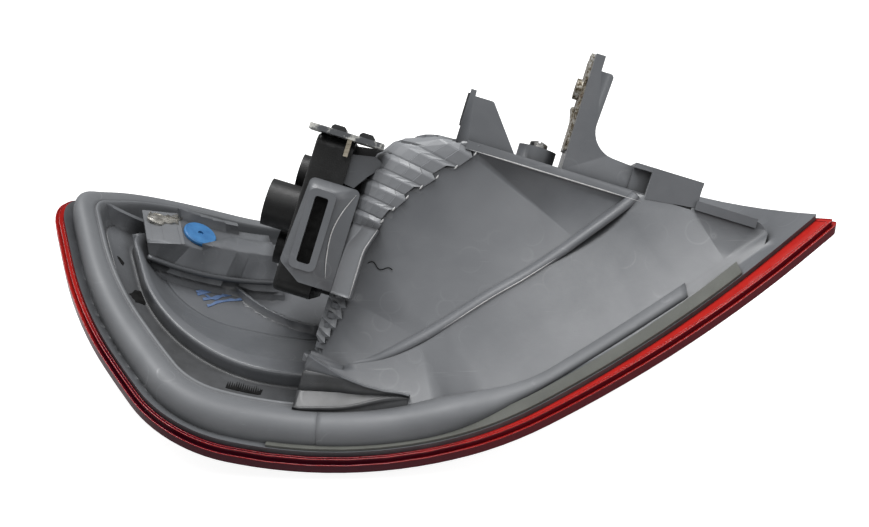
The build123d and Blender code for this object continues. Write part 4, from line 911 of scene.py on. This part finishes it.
def dressed_housing():
    """The housing's mesh with the left end of its arm cut down to a slope; it replaces the housing in the render."""
    source = frame["nodes"]["housing"]
    made = bpy.data.objects.new("housing_dressed", source.data.copy())
    made.matrix_world = source.matrix_world.copy()
    bpy.context.scene.collection.objects.link(made)
    weld = bmesh.new()
    weld.from_mesh(made.data)
    bmesh.ops.remove_doubles(weld, verts=weld.verts, dist=1e-6)
    weld.to_mesh(made.data)
    weld.free()
    low, high = [], []
    for along, height in ((-6.0, 27.0), (20.0, 36.3)):
        low += [arm_point(along, -6.0, height), arm_point(along, 33.0, height)]
        high += [arm_point(along, -6.0, 60.0), arm_point(along, 33.0, 60.0)]
    mesh = bpy.data.meshes.new("cutter")
    sides = [(0, 1, 3, 2), (4, 6, 7, 5), (0, 4, 5, 1), (2, 3, 7, 6), (0, 2, 6, 4), (1, 5, 7, 3)]
    mesh.from_pydata(low + high, [], sides)
    fix = bmesh.new()
    fix.from_mesh(mesh)
    bmesh.ops.recalc_face_normals(fix, faces=fix.faces)
    fix.to_mesh(mesh)
    fix.free()
    cutter = bpy.data.objects.new("cutter", mesh)
    bpy.context.scene.collection.objects.link(cutter)
    cut = made.modifiers.new("cut", "BOOLEAN")
    cut.operation, cut.object, cut.solver = "DIFFERENCE", cutter, "EXACT"
    bpy.context.view_layer.update()
    graph = bpy.context.evaluated_depsgraph_get()
    result = bpy.data.meshes.new_from_object(made.evaluated_get(graph))
    made.modifiers.clear()
    made.data = result
    bpy.data.objects.remove(cutter)
    for polygon in result.polygons:
        polygon.use_smooth = True
    result.set_sharp_from_angle(angle=math.radians(25))
    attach(made, "root")
    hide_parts("housing")


def arm_details():
    """Plate that closes the arm's cut end, rail along its foot and torn bright clip."""
    cap = [(-0.2, 0.2, 28.9), (20.4, 0.2, 36.3), (20.4, 27.0, 36.3), (-0.2, 27.0, 28.9)]
    top, low = ([arm_point(a, c, h + lift) for a, c, h in cap] for lift in (0.25, -0.6))
    prism("arm_cap", top, low, "housing_grey")
    rail = [arm_point(-1.0 + 72.0 * k / 30, -1.2 - 0.6 * math.sin(k / 30 * 3.1), 22.5 + 1.5 * k / 30)
            for k in range(31)]
    tube("arm_rail", rail, 0.0016, "housing_grey", None, 10)
    edge = [(2.0, 17.0), (9.0, 15.5), (13.0, 17.5), (19.0, 16.5), (20.0, 20.0), (22.0, 24.0), (16.0, 24.5),
            (12.0, 22.5), (7.0, 25.5), (3.0, 23.0)]
    torn = ragged(edge, 3, 0.5)
    top = [arm_point(a, c, 30.0 + 0.3 * a + random.uniform(0.2, 1.4)) for a, c in torn]
    low = [arm_point(a, c, 27.6 + 0.3 * a) for a, c in torn]
    clip = prism("clip_torn", top, low, "clip_bright")
    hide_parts("arm_clip")


tray_skin()
foot_skin()
tray_foot()
facet_skin()
facet_nubs()
marks()
rim_lines()
panel_skin()
comb_skin()
carrier_filling()
wall_lines()
dressed_housing()
arm_details()

# Stage

def lit_floor():
    """Pale floor that reads as white to the camera and keeps the lamp's shadow."""
    low = cad_box[0][2]
    mesh = bpy.data.meshes.new("floor")
    mesh.from_pydata([(-6, -6, low), (6, -6, low), (6, 6, low), (-6, 6, low)], [], [(0, 1, 2, 3)])
    floor = bpy.data.objects.new("floor", mesh)
    bpy.context.scene.collection.objects.link(floor)
    paint = Paint("floor_white")
    tree = paint.tree
    tree.nodes.remove(paint.shader)
    path = paint.node("ShaderNodeLightPath")
    seen = paint.math("MAXIMUM", path.outputs["Is Camera Ray"], path.outputs["Is Transmission Ray"])
    glow = paint.node("ShaderNodeEmission")
    glow.inputs["Strength"].default_value = 0.9
    cloth = paint.node("ShaderNodeBsdfDiffuse")
    tone = paint.ramp(paint.noise(3, 2), (0.3, 0.5), (0.7, 0.52))
    paint.link(tone, cloth.inputs["Color"])
    both = paint.node("ShaderNodeAddShader")
    paint.link(glow.outputs[0], both.inputs[0])
    paint.link(cloth.outputs[0], both.inputs[1])
    pick = paint.node("ShaderNodeMixShader")
    paint.link(seen, pick.inputs[0])
    paint.link(cloth.outputs[0], pick.inputs[1])
    paint.link(both.outputs[0], pick.inputs[2])
    paint.link(pick.outputs[0], tree.nodes["Material Output"].inputs["Surface"])
    mesh.materials.append(paint.material)


def white_world():
    world = bpy.data.worlds.new("studio")
    bpy.context.scene.world = world
    world.use_nodes = True
    tree = world.node_tree
    sky = tree.nodes["Background"]
    sky.inputs["Color"].default_value = (1, 1, 1, 1)
    path = tree.nodes.new("ShaderNodeLightPath")
    seen = path.outputs["Is Camera Ray"]
    node = tree.nodes.new("ShaderNodeMath")
    node.operation = "MAXIMUM"
    tree.links.new(seen, node.inputs[0])
    tree.links.new(path.outputs["Is Transmission Ray"], node.inputs[1])
    seen = node.outputs[0]
    level = tree.nodes.new("ShaderNodeMapRange")
    level.inputs["To Min"].default_value = 0.3
    level.inputs["To Max"].default_value = 1.0
    tree.links.new(seen, level.inputs["Value"])
    tree.links.new(level.outputs["Result"], sky.inputs["Strength"])


def softbox(name, place, aim, width, height, power):
    light = bpy.data.lights.new(name, "AREA")
    light.shape = "RECTANGLE"
    light.size, light.size_y, light.energy = width, height, power
    made = bpy.data.objects.new(name, light)
    made.location = place
    made.rotation_euler = (Vector(aim) - Vector(place)).to_track_quat("-Z", "Y").to_euler()
    bpy.context.scene.collection.objects.link(made)


lit_floor()
white_world()
CENTRE = (-0.06, -0.02, -0.06)
softbox("top_box", (-0.25, 0.24, 1.2), CENTRE, 0.9, 0.7, 19)
softbox("left_box", (-1.2, 0.2, 0.85), CENTRE, 0.8, 0.9, 3)
softbox("front_strip", (-0.05, -0.72, 1.05), CENTRE, 1.0, 0.5, 3)
softbox("right_box", (1.1, -0.6, 0.7), CENTRE, 0.4, 0.5, 5)

# Camera at the photograph's place and angle
camera = bpy.data.cameras.new("camera")
camera.sensor_width = SENSOR
camera.lens = PHOTO_FOCAL / PHOTO_WIDTH * SENSOR
eye = bpy.data.objects.new("camera", camera)
eye.location = row(PHOTO_EYE)
eye.rotation_euler = (math.radians(90.0 - PHOTO_DOWN), 0, 0)
bpy.context.scene.collection.objects.link(eye)
bpy.context.scene.camera = eye
bpy.context.scene.view_settings.view_transform = "Standard"
